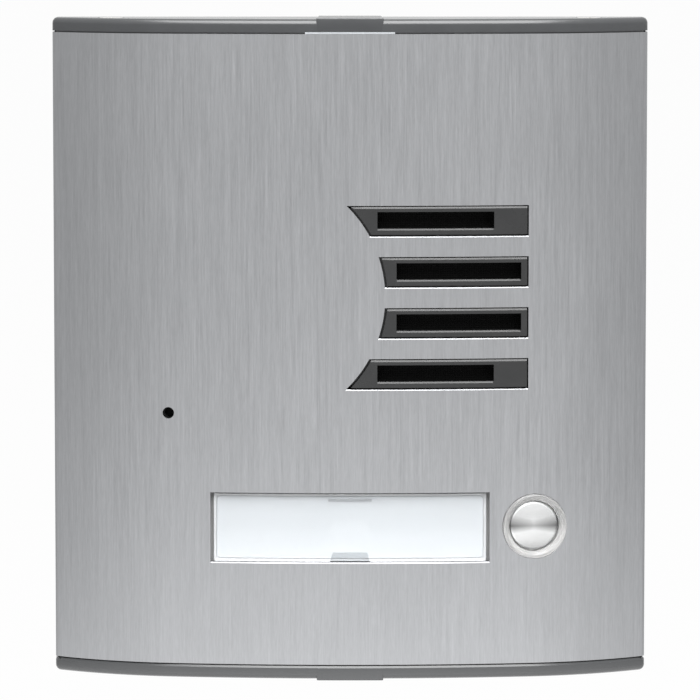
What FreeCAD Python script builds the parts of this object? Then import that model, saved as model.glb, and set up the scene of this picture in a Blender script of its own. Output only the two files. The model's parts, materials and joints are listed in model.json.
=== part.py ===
"""Flush-wall door-entry intercom panel: bowed aluminium front, moulded caps, speaker, call button.

Frame: millimetres, +Z up, +X to the right seen from the street, the viewer stands at -Y.
Origin: centre of the wall plane, which is the back of the steel wall frame.
"""

import FreeCAD
import Part
import math
import os

from FreeCAD import Placement, Rotation, Vector

# ---------------------------------------------------------------- driving dimensions
# Bowed front extrusion
PANEL_WIDTH = 125.0
EXTRUSION_HEIGHT = 132.4
FRONT_DEPTH = 16.0            # wall plane to the crown of the bow
SIDE_DEPTH = 3.8              # wall plane to the front edge of the side walls
BOW_RADIUS = 268.0
SHOULDER_WIDTH = 25.0         # tangent shoulder between the crown arc and each side wall
SKIN = 1.8
EDGE_ROUND = 1.3
SEAT_GAP = 0.05               # between curved faces of pieces in one body
GASKET_THICKNESS = 0.8
GASKET_WIDTH = 3.0
GASKET_INSET = 0.3            # back from the panel's outline

# Slide-in rails and screw ports of the extrusion
LIP_THICKNESS = 1.0
LIP_REACH = 3.5
PORT_RADIUS = 2.5
PORT_BORE = 1.3
PORT_EDGE = 12.5              # side of the panel to the port axis
PORT_GAP = 0.37               # between each port and the chassis plate
PORT_WEB = 2.4                # width of the rib that joins each port to the skin
PORT_SLIT = 1.0

# End caps
CAP_THICKNESS = 3.1
CAP_CHAMFER = 0.7
PAD_WIDTH = 14.0
PAD_PROUD = 0.25
TONGUE_DEPTH = 4.0
TONGUE_THICKNESS = 1.4
TONGUE_GAP = 0.15
TONGUE_PORT_GAP = 1.0
CAP_SCREW_RADIUS = 1.25
CAP_SCREW_HEAD = 2.6
CAP_SCREW_LENGTH = 12.0
CAP_SCREW_HOLE = 1.5
COUNTERSINK_GAP = 0.1         # round the head of every countersunk screw

# Round pieces are made with flat sides: how far a flat may fall inside its circle
FLAT_SAG = 0.1
FINE_SAG = 0.02               # on the button and its ring
FEWEST_SIDES = 12

# Grille of four bars in the skin
GRILLE_DROP = 54.9            # top of the extrusion to the grille's centre
GRILLE_EDGE = 25.3            # right side of the panel to the bars' right ends
BAR_COUNT = 4
BAR_PITCH = 10.7
BAR_HEIGHT = 6.3
BAR_LENGTH = 29.7             # on the grille's centre line
BAR_END_ARC = 27.0            # concave arc that the left ends follow
BAR_PROUD = 0.35
BAR_CHAMFER = 0.25
BAR_GAP = 0.2
SLOT_HEIGHT = 3.6
OUTER_SLOT_END = 7.1          # bars' right ends to the right ends of the outer slots
OUTER_SLOT_LENGTH = 24.4
INNER_SLOT_LENGTH = 26.1
INNER_SLOT_END = 1.4
GRILLE_FLANGE = 1.2
GRILLE_MARGIN = 3.0
CLOTH_THICKNESS = 0.4

# Loudspeaker
SPEAKER_RADIUS = 25.0
SPEAKER_EDGE = 44.0           # right side of the panel to the speaker axis
SPEAKER_RIM = 1.0
SPEAKER_DEPTH = 4.5
COLLAR_GAP = 0.2              # collar's foot below the flange, at the flange's outer end
SPEAKER_GASKET = 0.6
BASKET_WALL = 0.8
BASKET_REAR = 13.4
BASKET_HOLES = 6
BASKET_VENT = 4.4
POT_RADIUS = 11.0
POT_DEPTH = 6.0
POT_WALL = 1.0
REAR_RING_GAP = 1.6           # basket's rear ring round the magnet
MAGNET_RADIUS = 8.0
MAGNET_THICKNESS = 2.6
TOP_PLATE_LIP = 0.3
TOP_PLATE_THICKNESS = 1.0
COIL_RADIUS = 8.9
COIL_WALL = 0.35
COIL_HEIGHT = 4.6
CONE_SHEET = 0.3
CONE_DEPTH = 1.6
SURROUND_GLUE = 1.4           # flat of the surround that lies on the basket's rim
SURROUND_WIDTH = 3.0
SURROUND_RISE = 0.8
DUST_CAP_RISE = 1.3
COLLAR_WALL = 2.0

# Microphone
MIC_EDGE = 24.4               # left side of the panel to the microphone
MIC_RISE = 53.0               # foot of the extrusion to the microphone
MIC_HOLE = 1.2
MIC_RADIUS = 4.85
MIC_HEIGHT = 4.5
MIC_RIM = 0.9
MIC_DISH = 0.2
BOOT_WALL = 1.4
BOOT_FRONT = 1.2

# Name window, lens, card and tray
NAME_RISE = 29.0              # foot of the extrusion to the centre of the window
WINDOW_WIDTH = 58.6
WINDOW_HEIGHT = 14.7
LENS_SIDE_GAP = 0.7
LENS_END_GAP = 0.2
LENS_PROUD = 0.1
LENS_THICKNESS = 1.25
LENS_CORNER = 0.3
NOTCH_BASE = 9.1
NOTCH_TOP = 7.2
NOTCH_HEIGHT = 2.0
NOTCH_DEPTH = 0.7
TRAY_RIM = 0.55
CARD_DEPTH = 1.35             # skin face to the front of the card
CARD_THICKNESS = 0.3
CARD_GAP = 0.15
CARD_TAB_WIDTH = 9.1
CARD_TAB_HEIGHT = 0.5
CARD_TAB_DROP = 1.2           # top of the lens to the top of the tab
TRAY_PLATE = 1.4
TRAY_MARGIN = 0.9
TRAY_END_MARGIN = 1.6
BOX_WALL = 1.2
BOX_INSET = 2.8               # window's side to the light box's side
BOX_DEPTH = 5.4               # wall plane to the back of the light box
LIGHT_BOARD = 1.0
LIGHT_COUNT = 3
LIGHT_SIZE = (3.0, 1.4, 2.0)  # along X, Y and Z

# Call button: depths run inward along the skin's normal, from the skin's outer face
BUTTON_GAP = 2.74             # window to the button ring
RING_RADIUS = 6.8
RING_BORE = 5.4
RING_PROUD = 0.6
RING_LIP = 0.7
RING_FLANGE_RADIUS = 7.8
RING_FLANGE = 1.0
RING_HOLE_GAP = 0.1
DISC_RADIUS = 5.1
DISC_DROP = 1.75              # ring's front to the disc's rim
DISC_DOME = 0.35
DISC_EDGE = 0.2
DISC_THICKNESS = 0.8
DISC_SKIRT = 0.5
PRESS_TRAVEL = 0.9
PLUNGER_FLANGE_RADIUS = 5.9
PLUNGER_FLANGE = 0.5
STEM_RADIUS = 1.4
STEM_FIT = 0.08
SPRING_RADIUS = 3.2
SPRING_WIRE = 0.18
SPRING_TURNS = 2.5
SPRING_STEPS = 12             # sections in a turn
SPRING_SIDES = 5
SPRING_POCKET = 1.05
SPRING_ROOM = 0.6             # pocket each side of the spring
HOUSING_RADIUS = 8.0
HOUSING_FLANGE_RADIUS = 9.4
HOUSING_FLANGE = 1.0
HOUSING_CAVITY = 6.2
HOUSING_FLOOR = 0.6
HOUSING_RELIEF = 0.3          # milled into the panel round the housing and the ring's flange
SWITCH_SIZE = 6.2
SWITCH_HEIGHT = 2.1
SWITCH_GAP = 0.15
ACTUATOR_RADIUS = 1.4
ACTUATOR_FIT = 0.08
BUTTON_BOARD = 1.0
BUTTON_BOARD_RADIUS = 7.6

# Chassis plate that slides into the rails
CHASSIS_THICKNESS = 1.5
CHASSIS_END_GAP = 4.6         # end of the extrusion to the end of the chassis plate
CHASSIS_SIDE_GAP = 0.3
CROWN_WALL = 1.5
BUTTON_CROWN_WALL = 1.0
POT_GAP = 1.5
SCREW_NOTCH = 4.6

# Steel wall frame
FRAME_THICKNESS = 1.2
FRAME_LIP_GAP = 0.7           # between the frame's side and the extrusion's lips
FRAME_END_GAP = 1.7
FRAME_SIDE_STRIP = 6.5
FRAME_END_STRIP = 8.5
FRAME_CORNER = 2.0
FIX_SPACING_X = 80.0
FIX_HOLE = 2.1
TAB_REACH = 9.0               # wall plane to the tip of the tabs
HOOK_TAB_WIDTH = 8.0
HOOK_TAB_SPACING = 60.0
LOCK_TAB_WIDTH = 12.0
TAB_GAP = 0.4
LOCK_DEPTH = 5.6              # wall plane to the lock screw's axis
LOCK_SCREW_RADIUS = 2.0
LOCK_SCREW_LENGTH = 12.5
LOCK_FIT = 0.06
LOCK_BOSS_RADIUS = 4.0
LOCK_TAB_HOLE = 2.5           # half the side of the square hole
LOCK_FOOT = 5.0               # foot of the lock bracket on the frame
LOCK_CHAMFER = 0.3
LOCK_SOCKET = 1.1             # across flats of the hexagon socket, halved
LOCK_SOCKET_DEPTH = 2.0

# Rear cover and main board
REAR_DEPTH = 24.0             # wall plane to the back of the cover
COVER_WALL = 1.8
COVER_CORNER = 2.0
COVER_RIM = 0.9
WINDOW_MARGIN = 2.0           # between the cover and the wall frame's window
BOARD_DEPTH = 9.0             # wall plane to the front of the main board
BOARD_THICKNESS = 1.6
BOARD_SIDE_MARGIN = 2.2
BOARD_END_MARGIN = 3.2
BOSS_INSET = 5.0              # edge of the board to each boss
BOSS_RADIUS = 3.2
BOSS_BORE = 1.6
COVER_SCREW_RADIUS = 1.5
COVER_SCREW_HEAD = 2.8
COVER_SCREW_LENGTH = 21.0
COVER_SCREW_HOLE = 1.7
TERMINAL_WAYS = 5
TERMINAL_PITCH = 5.08
TERMINAL_HEIGHT = 10.0
TERMINAL_DEPTH = 11.8
TERMINAL_RISE = 2.0           # foot of the board to the terminal block
TERMINAL_SCREW = 1.7
TERMINAL_SHANK = 1.2
TERMINAL_HEAD = 1.6
TERMINAL_LENGTH = 7.0
TERMINAL_SINK = 1.0           # back of the block to the screws' heads
TERMINAL_ENTRY = 3.2
CLAMP_WALL = 0.5
CLAMP_HEIGHT = 5.0
CLAMP_STAND = 1.5             # board to the clamps
TERMINAL_WINDOW_MARGIN = 1.5
ENTRY_WIDTH = 26.0
ENTRY_HEIGHT = 8.0
TRIMMER_SIZE = 9.5
TRIMMER_HEIGHT = 4.8
TRIMMER_SPACING = 22.0
TRIMMER_RISE = 34.0           # foot of the board to the trimmers
ROTOR_RADIUS = 2.6
ROTOR_FIT = 0.1
ROTOR_DEPTH = 3.2
ROTOR_PROUD = 0.5
ROTOR_SLOT = (0.8, 1.0)       # width and depth of the screwdriver slot
TRIMMER_HOLE = 3.2
CAPACITORS = ((-30.0, 30.0, 5.0, 10.6), (-30.0, 16.0, 4.0, 9.0), (31.0, -6.0, 4.0, 9.0))
CAN_ROUND = 0.3
TRANSFORMER_SIZE = (18.0, 9.5, 15.0)
TRANSFORMER_PLACE = (26.0, 32.0)
TRANSFORMER_STEP = 3.0        # bobbin out of the core, and core out of the bobbin
TRANSFORMER_STAND = 1.0
CHIP_SIZE = (6.4, 3.4, 10.0)
CHIP_PLACE = (2.0, 24.0)
CHIP_LEGS = 4
CHIP_LEG = 0.8
CHIP_LEG_REACH = 0.5
CHIP_STAND = 0.6
HEADER_PINS = 6
HEADER_PLACE = (-20.0, 2.0)
HEADER_PITCH = 2.54
HEADER_HEIGHT = 8.0

# ---------------------------------------------------------------- places worked out from them
X_AXIS = Vector(1, 0, 0)
Y_AXIS = Vector(0, 1, 0)
Z_AXIS = Vector(0, 0, 1)
HALF_WIDTH = PANEL_WIDTH / 2
HALF_HEIGHT = EXTRUSION_HEIGHT / 2
REAR_Y = -GASKET_THICKNESS

BOW_CENTRE_Y = BOW_RADIUS - FRONT_DEPTH
SHOULDER_START = HALF_WIDTH - SHOULDER_WIDTH
SHOULDER_TURN = math.asin(SHOULDER_START / BOW_RADIUS)
_start_y = BOW_CENTRE_Y - BOW_RADIUS * math.cos(SHOULDER_TURN)
_rise = -SIDE_DEPTH - _start_y
_toward_centre = _rise * math.cos(SHOULDER_TURN) - SHOULDER_WIDTH * math.sin(SHOULDER_TURN)
SHOULDER_RADIUS = (SHOULDER_WIDTH ** 2 + _rise ** 2) / (2 * _toward_centre)
SHOULDER_CENTRE_X = (BOW_RADIUS - SHOULDER_RADIUS) * math.sin(SHOULDER_TURN)
SHOULDER_CENTRE_Y = BOW_CENTRE_Y - (BOW_RADIUS - SHOULDER_RADIUS) * math.cos(SHOULDER_TURN)

GRILLE_Z = HALF_HEIGHT - GRILLE_DROP
BAR_RIGHT = HALF_WIDTH - GRILLE_EDGE
BAR_ARC_X = BAR_RIGHT - BAR_LENGTH - BAR_END_ARC
FLANGE_BACK = SKIN + SEAT_GAP + GRILLE_FLANGE
SPEAKER_X = HALF_WIDTH - SPEAKER_EDGE
SURROUND_EDGE = SPEAKER_RADIUS - COLLAR_WALL
COLLAR_RADIUS = SPEAKER_RADIUS + COLLAR_WALL / 2

MIC_X = -(HALF_WIDTH - MIC_EDGE)
MIC_Z = -HALF_HEIGHT + MIC_RISE
NAME_Z = -HALF_HEIGHT + NAME_RISE
LENS_HALF = WINDOW_WIDTH / 2 - LENS_SIDE_GAP
LENS_TOP = NAME_Z + WINDOW_HEIGHT / 2 - LENS_END_GAP
LENS_BOTTOM = NAME_Z - WINDOW_HEIGHT / 2 + LENS_END_GAP
LENS_BACK = LENS_THICKNESS - LENS_PROUD
TRAY_FRONT = CARD_DEPTH + CARD_THICKNESS
TRAY_BACK = TRAY_FRONT + TRAY_PLATE
BUTTON_X = WINDOW_WIDTH / 2 + BUTTON_GAP + RING_RADIUS

CHASSIS_BACK = REAR_Y - LIP_THICKNESS
CHASSIS_FRONT = CHASSIS_BACK - CHASSIS_THICKNESS
CHASSIS_TOP = HALF_HEIGHT - CHASSIS_END_GAP
LIP_INNER = HALF_WIDTH - SKIN - LIP_REACH

FRAME_HALF_WIDTH = LIP_INNER - FRAME_LIP_GAP
FRAME_HALF_HEIGHT = HALF_HEIGHT - FRAME_END_GAP
OPENING_HALF_WIDTH = FRAME_HALF_WIDTH - FRAME_SIDE_STRIP
OPENING_HALF_HEIGHT = FRAME_HALF_HEIGHT - FRAME_END_STRIP
FIX_Z = FRAME_HALF_HEIGHT - FRAME_END_STRIP / 2
COVER_HALF_WIDTH = OPENING_HALF_WIDTH - WINDOW_MARGIN
COVER_HALF_HEIGHT = OPENING_HALF_HEIGHT - WINDOW_MARGIN
BOARD_HALF_WIDTH = COVER_HALF_WIDTH - COVER_WALL - BOARD_SIDE_MARGIN
BOARD_HALF_HEIGHT = COVER_HALF_HEIGHT - COVER_WALL - BOARD_END_MARGIN
BOARD_BACK = BOARD_DEPTH + BOARD_THICKNESS
COVER_INNER = REAR_DEPTH - COVER_WALL
BOSS_X = BOARD_HALF_WIDTH - BOSS_INSET
BOSS_Z = BOARD_HALF_HEIGHT - BOSS_INSET
TERMINAL_LOW = -BOARD_HALF_HEIGHT + TERMINAL_RISE
TERMINAL_WIDTH = TERMINAL_WAYS * TERMINAL_PITCH
TRIMMER_Z = -BOARD_HALF_HEIGHT + TRIMMER_RISE
TRIMMER_XS = (-TRIMMER_SPACING / 2, TRIMMER_SPACING / 2)
PAD_FACE = HALF_HEIGHT + CAP_THICKNESS + PAD_PROUD
PORT_X = HALF_WIDTH - PORT_EDGE
PORT_Y = CHASSIS_FRONT - PORT_GAP - PORT_RADIUS


# ---------------------------------------------------------------- the bow
def skin_turn(x):
    """Angle in radians between straight ahead and the outward normal of the skin at x."""
    if abs(x) <= SHOULDER_START:
        return math.asin(x / BOW_RADIUS)
    return math.copysign(math.asin((abs(x) - SHOULDER_CENTRE_X) / SHOULDER_RADIUS), x)


def skin_y(x, inset=0.0):
    """Y of the bow at x, `inset` under its outer face."""
    if abs(x) <= (BOW_RADIUS - inset) * math.sin(SHOULDER_TURN):
        return BOW_CENTRE_Y - math.sqrt((BOW_RADIUS - inset) ** 2 - x ** 2)
    across = abs(x) - SHOULDER_CENTRE_X
    return SHOULDER_CENTRE_Y - math.sqrt((SHOULDER_RADIUS - inset) ** 2 - across ** 2)


def bow_edges(left, right, inset):
    """Arcs of the bow from left to right, `inset` under its outer face."""
    crown = (BOW_RADIUS - inset) * math.sin(SHOULDER_TURN)
    stops = [left] + [x for x in (-crown, crown) if left < x < right] + [right]
    edges = []
    for start, end in zip(stops, stops[1:]):
        points = [Vector(x, skin_y(x, inset), 0) for x in (start, (start + end) / 2, end)]
        edges.append(Part.Arc(*points).toShape())
    return edges


def upright(edges, low, high):
    """Prism along Z on a closed run of edges."""
    face = Part.Face(Part.Wire(Part.sortEdges(edges)[0]))
    return face.extrude(Z_AXIS * (high - low)).translated(Z_AXIS * low)


def bow_slab(left, right, front, back, low, high):
    """Curved plate between two depths under the skin's face."""
    near = bow_edges(left, right, front)
    far = bow_edges(left, right, back)
    ends = [
        Part.makeLine(Vector(x, skin_y(x, front), 0), Vector(x, skin_y(x, back), 0))
        for x in (left, right)
    ]
    return upright(near + far + ends, low, high)


def bow_block(left, right, front, back_y, low, high):
    """Block with a bowed front and a flat back."""
    corners = [
        Vector(left, skin_y(left, front), 0),
        Vector(left, back_y, 0),
        Vector(right, back_y, 0),
        Vector(right, skin_y(right, front), 0),
    ]
    lines = [Part.makeLine(a, b) for a, b in zip(corners, corners[1:])]
    return upright(bow_edges(left, right, front) + lines, low, high)


def on_skin(x, z):
    """Placement whose local +Z runs inward along the skin's normal, from its face at x, z."""
    turn = Rotation(Z_AXIS, math.degrees(skin_turn(x))) * Rotation(X_AXIS, -90)
    return Placement(Vector(x, skin_y(x), z), turn)


def facing_wall(x, y, z):
    """Placement whose local +Z runs straight toward the wall."""
    return Placement(Vector(x, y, z), Rotation(X_AXIS, -90))


def inner_seat(radius):
    """Depth along the normal at which a flat disc of this radius meets the skin's inner face."""
    return SKIN + radius ** 2 / (2 * (SHOULDER_RADIUS - SKIN)) + SEAT_GAP


# ---------------------------------------------------------------- plain shapes
def box(x0, x1, y0, y1, z0, z1):
    return Part.makeBox(x1 - x0, y1 - y0, z1 - z0, Vector(x0, y0, z0))


def cornered_box(x0, x1, y0, y1, z0, z1, corner):
    """Box with its four edges along Y chamfered."""
    block = box(x0, x1, y0, y1, z0, z1)
    along_y = [edge for edge in block.Edges if abs(edge.tangentAt(0).y) > 0.9]
    return block.makeChamfer(corner, along_y)


def side_count(radius, sag=FLAT_SAG):
    """Flat sides, in fours, that a round piece of this radius needs."""
    needed = math.pi / math.acos(1 - sag / radius)
    return max(FEWEST_SIDES, 4 * math.ceil(needed / 4))


def ring_of(radius, height, count):
    """Corners of a regular polygon about local Z."""
    angles = [2 * math.pi * index / count for index in range(count)]
    return [Vector(radius * math.cos(a), radius * math.sin(a), height) for a in angles]


def rod(radius, low, high, centre=(0, 0)):
    """Many-sided prism along local Z."""
    corners = ring_of(radius, low, side_count(radius))
    prism = Part.Face(Part.makePolygon(corners + corners[:1])).extrude(Z_AXIS * (high - low))
    return prism.translated(Vector(centre[0], centre[1], 0))


def tube(outer, inner, low, high, centre=(0, 0)):
    return rod(outer, low, high, centre).cut(rod(inner, low, high, centre))


def true_rod(radius, low, high):
    """True cylinder along local Z, for the skin's holes, the wall screws' and what turns."""
    return Part.makeCylinder(radius, high - low, Vector(0, 0, low))


def turned(*corners, sag=FLAT_SAG):
    """Many-sided solid about local Z, from the (radius, height) corners of half its section."""
    count = side_count(max(radius for radius, height in corners), sag)
    rings = [ring_of(radius, height, count) for radius, height in corners]
    faces = []
    for near, far in zip(rings, rings[1:] + rings[:1]):
        for index in range(count):
            after = (index + 1) % count
            loop = [near[index], near[after], far[after], far[index]]
            loop = [point for point, other in zip(loop, loop[1:] + loop[:1])
                    if not point.isEqual(other, 1e-6)]
            if len(loop) > 2:
                faces.append(Part.Face(Part.makePolygon(loop + loop[:1])))
    shell = Part.makeShell(faces)
    shell.sewShape()
    solid = Part.makeSolid(shell)
    if solid.Volume < 0:
        solid.reverse()
    return solid.removeSplitter()


def dome_drop(radius, rise):
    """How far a shallow round dome has fallen from its top at half its radius."""
    sphere = (radius ** 2 + rise ** 2) / (2 * rise)
    return sphere - math.sqrt(sphere ** 2 - radius ** 2 / 4)


def placed(shape, placement):
    moved = shape.copy()
    moved.Placement = placement.multiply(moved.Placement)
    return moved


def fused(shapes):
    first, *rest = shapes
    return first.fuse(rest).removeSplitter() if rest else first


def countersunk_screw(radius, head, length):
    """Countersunk screw, its flat head at local Z = 0 and its tip at Z = length."""
    return turned((0, 0), (head, 0), (radius, head - radius), (radius, length - radius),
                  (radius / 2, length), (0, length))


def countersunk_hole(screw, head, hole, length):
    """Clearance hole for a countersunk screw, its mouth at local Z = 0."""
    mouth = head + COUNTERSINK_GAP
    return turned((0, 0), (mouth, 0), (hole, mouth - screw), (hole, length), (0, length))


# ---------------------------------------------------------------- front extrusion
def grille_bar_tops():
    """(low, high) of each bar along Z, from the bottom one up."""
    first = GRILLE_Z - (BAR_COUNT - 1) / 2 * BAR_PITCH
    centres = [first + index * BAR_PITCH for index in range(BAR_COUNT)]
    return [(centre - BAR_HEIGHT / 2, centre + BAR_HEIGHT / 2) for centre in centres]


def bar_prism(low, high, grow):
    """Straight prism on one bar's outline: square at the right, on the end arc at the left."""
    low, high = low - grow, high + grow
    arc = BAR_END_ARC + grow if grow < 0 else BAR_END_ARC - grow
    rises = [z - GRILLE_Z for z in (low, (low + high) / 2, high)]
    lefts = [BAR_ARC_X + math.sqrt(arc ** 2 - rise ** 2) for rise in rises]
    right = BAR_RIGHT + grow
    y = -FRONT_DEPTH - 2 * BAR_PROUD
    left_points = [Vector(x, y, GRILLE_Z + rise) for x, rise in zip(lefts, rises)]
    corners = [left_points[2], Vector(right, y, high), Vector(right, y, low), left_points[0]]
    lines = [Part.makeLine(a, b) for a, b in zip(corners, corners[1:])]
    wire = Part.Wire([Part.Arc(*left_points).toShape()] + lines)
    return Part.Face(wire).extrude(Y_AXIS * FRONT_DEPTH)


def front_panel():
    """Bowed skin with rails behind its sides and two screw ports, pierced for what it carries
    and milled behind the call button."""
    outer = bow_block(-HALF_WIDTH, HALF_WIDTH, 0, REAR_Y, -HALF_HEIGHT, HALF_HEIGHT)
    corners = [
        edge for edge in outer.Edges
        if abs(edge.tangentAt(0).z) > 0.9 and abs(edge.CenterOfMass.y + SIDE_DEPTH) < 0.01
    ]
    outer = outer.makeFillet(EDGE_ROUND, corners)
    inner_half = HALF_WIDTH - SKIN
    hollow = bow_block(-inner_half, inner_half, SKIN, CHASSIS_BACK, -HALF_HEIGHT, HALF_HEIGHT)
    mouth = box(-LIP_INNER, LIP_INNER, CHASSIS_BACK, 0, -HALF_HEIGHT, HALF_HEIGHT)
    shell = outer.cut([hollow, mouth])
    ports = []
    bores = []
    for side in (-1, 1):
        centre = (side * PORT_X, PORT_Y)
        ports.append(rod(PORT_RADIUS, -HALF_HEIGHT, HALF_HEIGHT, centre))
        ports.append(box(centre[0] - PORT_WEB / 2, centre[0] + PORT_WEB / 2,
                         skin_y(PORT_X, SKIN / 2), PORT_Y, -HALF_HEIGHT, HALF_HEIGHT))
        bores.append(rod(PORT_BORE, -HALF_HEIGHT, HALF_HEIGHT, centre))
        reach = sorted((side * PORT_X, side * (PORT_X - 2 * PORT_RADIUS)))
        bores.append(box(reach[0], reach[1], PORT_Y - PORT_SLIT / 2,
                         PORT_Y + PORT_SLIT / 2, -HALF_HEIGHT, HALF_HEIGHT))
    shell = fused([shell] + ports).cut(bores)
    holes = [bar_prism(low, high, BAR_GAP) for low, high in grille_bar_tops()]
    holes.append(placed(true_rod(MIC_HOLE, -SKIN, 2 * SKIN), on_skin(MIC_X, MIC_Z)))
    ring_hole = true_rod(RING_RADIUS + RING_HOLE_GAP, -SKIN, 2 * SKIN)
    holes.append(placed(ring_hole, on_skin(BUTTON_X, NAME_Z)))
    holes.append(cornered_box(-WINDOW_WIDTH / 2, WINDOW_WIDTH / 2, -2 * FRONT_DEPTH,
                             CHASSIS_FRONT, NAME_Z - WINDOW_HEIGHT / 2,
                             NAME_Z + WINDOW_HEIGHT / 2, LENS_CORNER))
    holes.append(button_relief())
    return shell.cut(holes)


def button_relief():
    """Room behind the skin for the ring's flange and the button's housing."""
    flange, housing = [
        radius + HOUSING_RELIEF for radius in (RING_FLANGE_RADIUS, HOUSING_FLANGE_RADIUS)
    ]
    seat, step = inner_seat(RING_FLANGE_RADIUS), inner_seat(housing)
    return on_button(turned((0, seat), (flange, seat), (flange, step), (housing, step),
                            (housing, FRONT_DEPTH), (0, FRONT_DEPTH)))


# ---------------------------------------------------------------- end caps
def end_cap(with_lock):
    """Cap for the top end, its outer face up; the bottom one is its mirror image."""
    low, high = HALF_HEIGHT, HALF_HEIGHT + CAP_THICKNESS
    plate = bow_block(-HALF_WIDTH, HALF_WIDTH, 0, REAR_Y, low, high)
    corners = [
        edge for edge in plate.Edges
        if abs(edge.tangentAt(0).z) > 0.9 and abs(edge.CenterOfMass.y + SIDE_DEPTH) < 0.01
    ]
    plate = plate.makeFillet(EDGE_ROUND, corners)
    rim = [
        edge for edge in plate.Edges
        if abs(edge.BoundBox.ZMin - high) < 0.01 and edge.BoundBox.YMin < REAR_Y - 0.01
    ]
    plate = plate.makeChamfer(CAP_CHAMFER, rim)
    pad = bow_block(-PAD_WIDTH / 2, PAD_WIDTH / 2, 0, REAR_Y, low, high + PAD_PROUD)
    tongue_half = PORT_X - PORT_RADIUS - TONGUE_PORT_GAP
    tongue_front = SKIN + TONGUE_GAP
    tongue = bow_slab(-tongue_half, tongue_half, tongue_front, tongue_front + TONGUE_THICKNESS,
                      low - TONGUE_DEPTH, low)
    parts = [plate, pad, tongue]
    cuts = [cap_screw_hole(side, high) for side in (-1, 1)]
    if with_lock:
        lock_at = (0, -LOCK_DEPTH)
        parts.append(rod(LOCK_BOSS_RADIUS, low - TONGUE_DEPTH, low, lock_at))
        cuts.append(rod(LOCK_SCREW_RADIUS + LOCK_FIT, low - TONGUE_DEPTH, PAD_FACE, lock_at))
    return fused(parts).cut(cuts)


def cap_screw_hole(side, face):
    """Countersunk clearance hole through a cap whose outer face is at `face`."""
    hole = countersunk_hole(CAP_SCREW_RADIUS, CAP_SCREW_HEAD, CAP_SCREW_HOLE, CAP_THICKNESS)
    return placed(hole, Placement(Vector(side * PORT_X, PORT_Y, face), Rotation(X_AXIS, 180)))


def mirrored_down(shape):
    return shape.mirror(Vector(), Z_AXIS)


def cap_screws():
    """Four countersunk screws, two down into each end of the ports."""
    down = Placement(Vector(0, 0, HALF_HEIGHT + CAP_THICKNESS), Rotation(X_AXIS, 180))
    screw = placed(countersunk_screw(CAP_SCREW_RADIUS, CAP_SCREW_HEAD, CAP_SCREW_LENGTH), down)
    top = [screw.translated(Vector(side * PORT_X, PORT_Y, 0)) for side in (-1, 1)]
    return Part.makeCompound(top + [mirrored_down(one) for one in top])


def wall_gasket():
    """Flat foam ring between the panel's back and the wall."""
    half_width = HALF_WIDTH - GASKET_INSET
    half_height = HALF_HEIGHT + CAP_THICKNESS - GASKET_INSET
    ring = box(-half_width, half_width, REAR_Y, 0, -half_height, half_height)
    inner_width, inner_height = half_width - GASKET_WIDTH, half_height - GASKET_WIDTH
    return ring.cut(box(-inner_width, inner_width, REAR_Y, 0, -inner_height, inner_height))


# ---------------------------------------------------------------- grille and loudspeaker
COLLAR_BACK = skin_y(SPEAKER_X + COLLAR_RADIUS, FLANGE_BACK) + COLLAR_GAP
SPEAKER_SEAT = -COLLAR_BACK - SPEAKER_GASKET


def slot_ends(index):
    """(left, right) of a bar's slot."""
    if index in (0, BAR_COUNT - 1):
        right = BAR_RIGHT - OUTER_SLOT_END
        return right - OUTER_SLOT_LENGTH, right
    right = BAR_RIGHT - INNER_SLOT_END
    return right - INNER_SLOT_LENGTH, right


def bowed_bar(low, high):
    """Arched bar right across the crown of the bow, its long front edges chamfered."""
    crest = BOW_RADIUS + BAR_PROUD
    section = [
        (BOW_RADIUS - FLANGE_BACK, low), (crest - BAR_CHAMFER, low), (crest, low + BAR_CHAMFER),
        (crest, high - BAR_CHAMFER), (crest - BAR_CHAMFER, high), (BOW_RADIUS - FLANGE_BACK, high),
    ]
    corners = [Vector(0, BOW_CENTRE_Y - radius, z) for radius, z in section]
    outline = Part.Face(Part.makePolygon(corners + corners[:1]))
    centre = Vector(0, BOW_CENTRE_Y, 0)
    half_turn = math.degrees(SHOULDER_TURN)
    return outline.rotated(centre, Z_AXIS, -half_turn).revolve(centre, Z_AXIS, 2 * half_turn)


def grille():
    """Moulding with four proud slotted bars, a flange behind the skin and a speaker collar."""
    back = FLANGE_BACK
    bars = [bowed_bar(low, high).common(bar_prism(low, high, 0)) for low, high in grille_bar_tops()]
    reach = COLLAR_RADIUS
    left, right = SPEAKER_X - reach, SPEAKER_X + reach
    spans = grille_bar_tops()
    flange = bow_slab(left, right, SKIN + SEAT_GAP, back,
                      spans[0][0] - GRILLE_MARGIN, spans[-1][1] + GRILLE_MARGIN)
    collar = tube(reach, reach - COLLAR_WALL, -FRONT_DEPTH, COLLAR_BACK)
    collar = placed(collar, facing_wall(SPEAKER_X, 0, GRILLE_Z))
    behind_skin = bow_block(left - 1, right + 1, SKIN + SEAT_GAP, COLLAR_BACK,
                            GRILLE_Z - reach - 1, GRILLE_Z + reach + 1)
    body = fused(bars + [flange, collar.common(behind_skin)])
    slots = []
    for index, (low, high) in enumerate(spans):
        slot_left, slot_right = slot_ends(index)
        centre = (low + high) / 2
        slots.append(box(slot_left, slot_right, -2 * FRONT_DEPTH, COLLAR_BACK,
                         centre - SLOT_HEIGHT / 2, centre + SLOT_HEIGHT / 2))
    return body.cut(slots)


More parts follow.
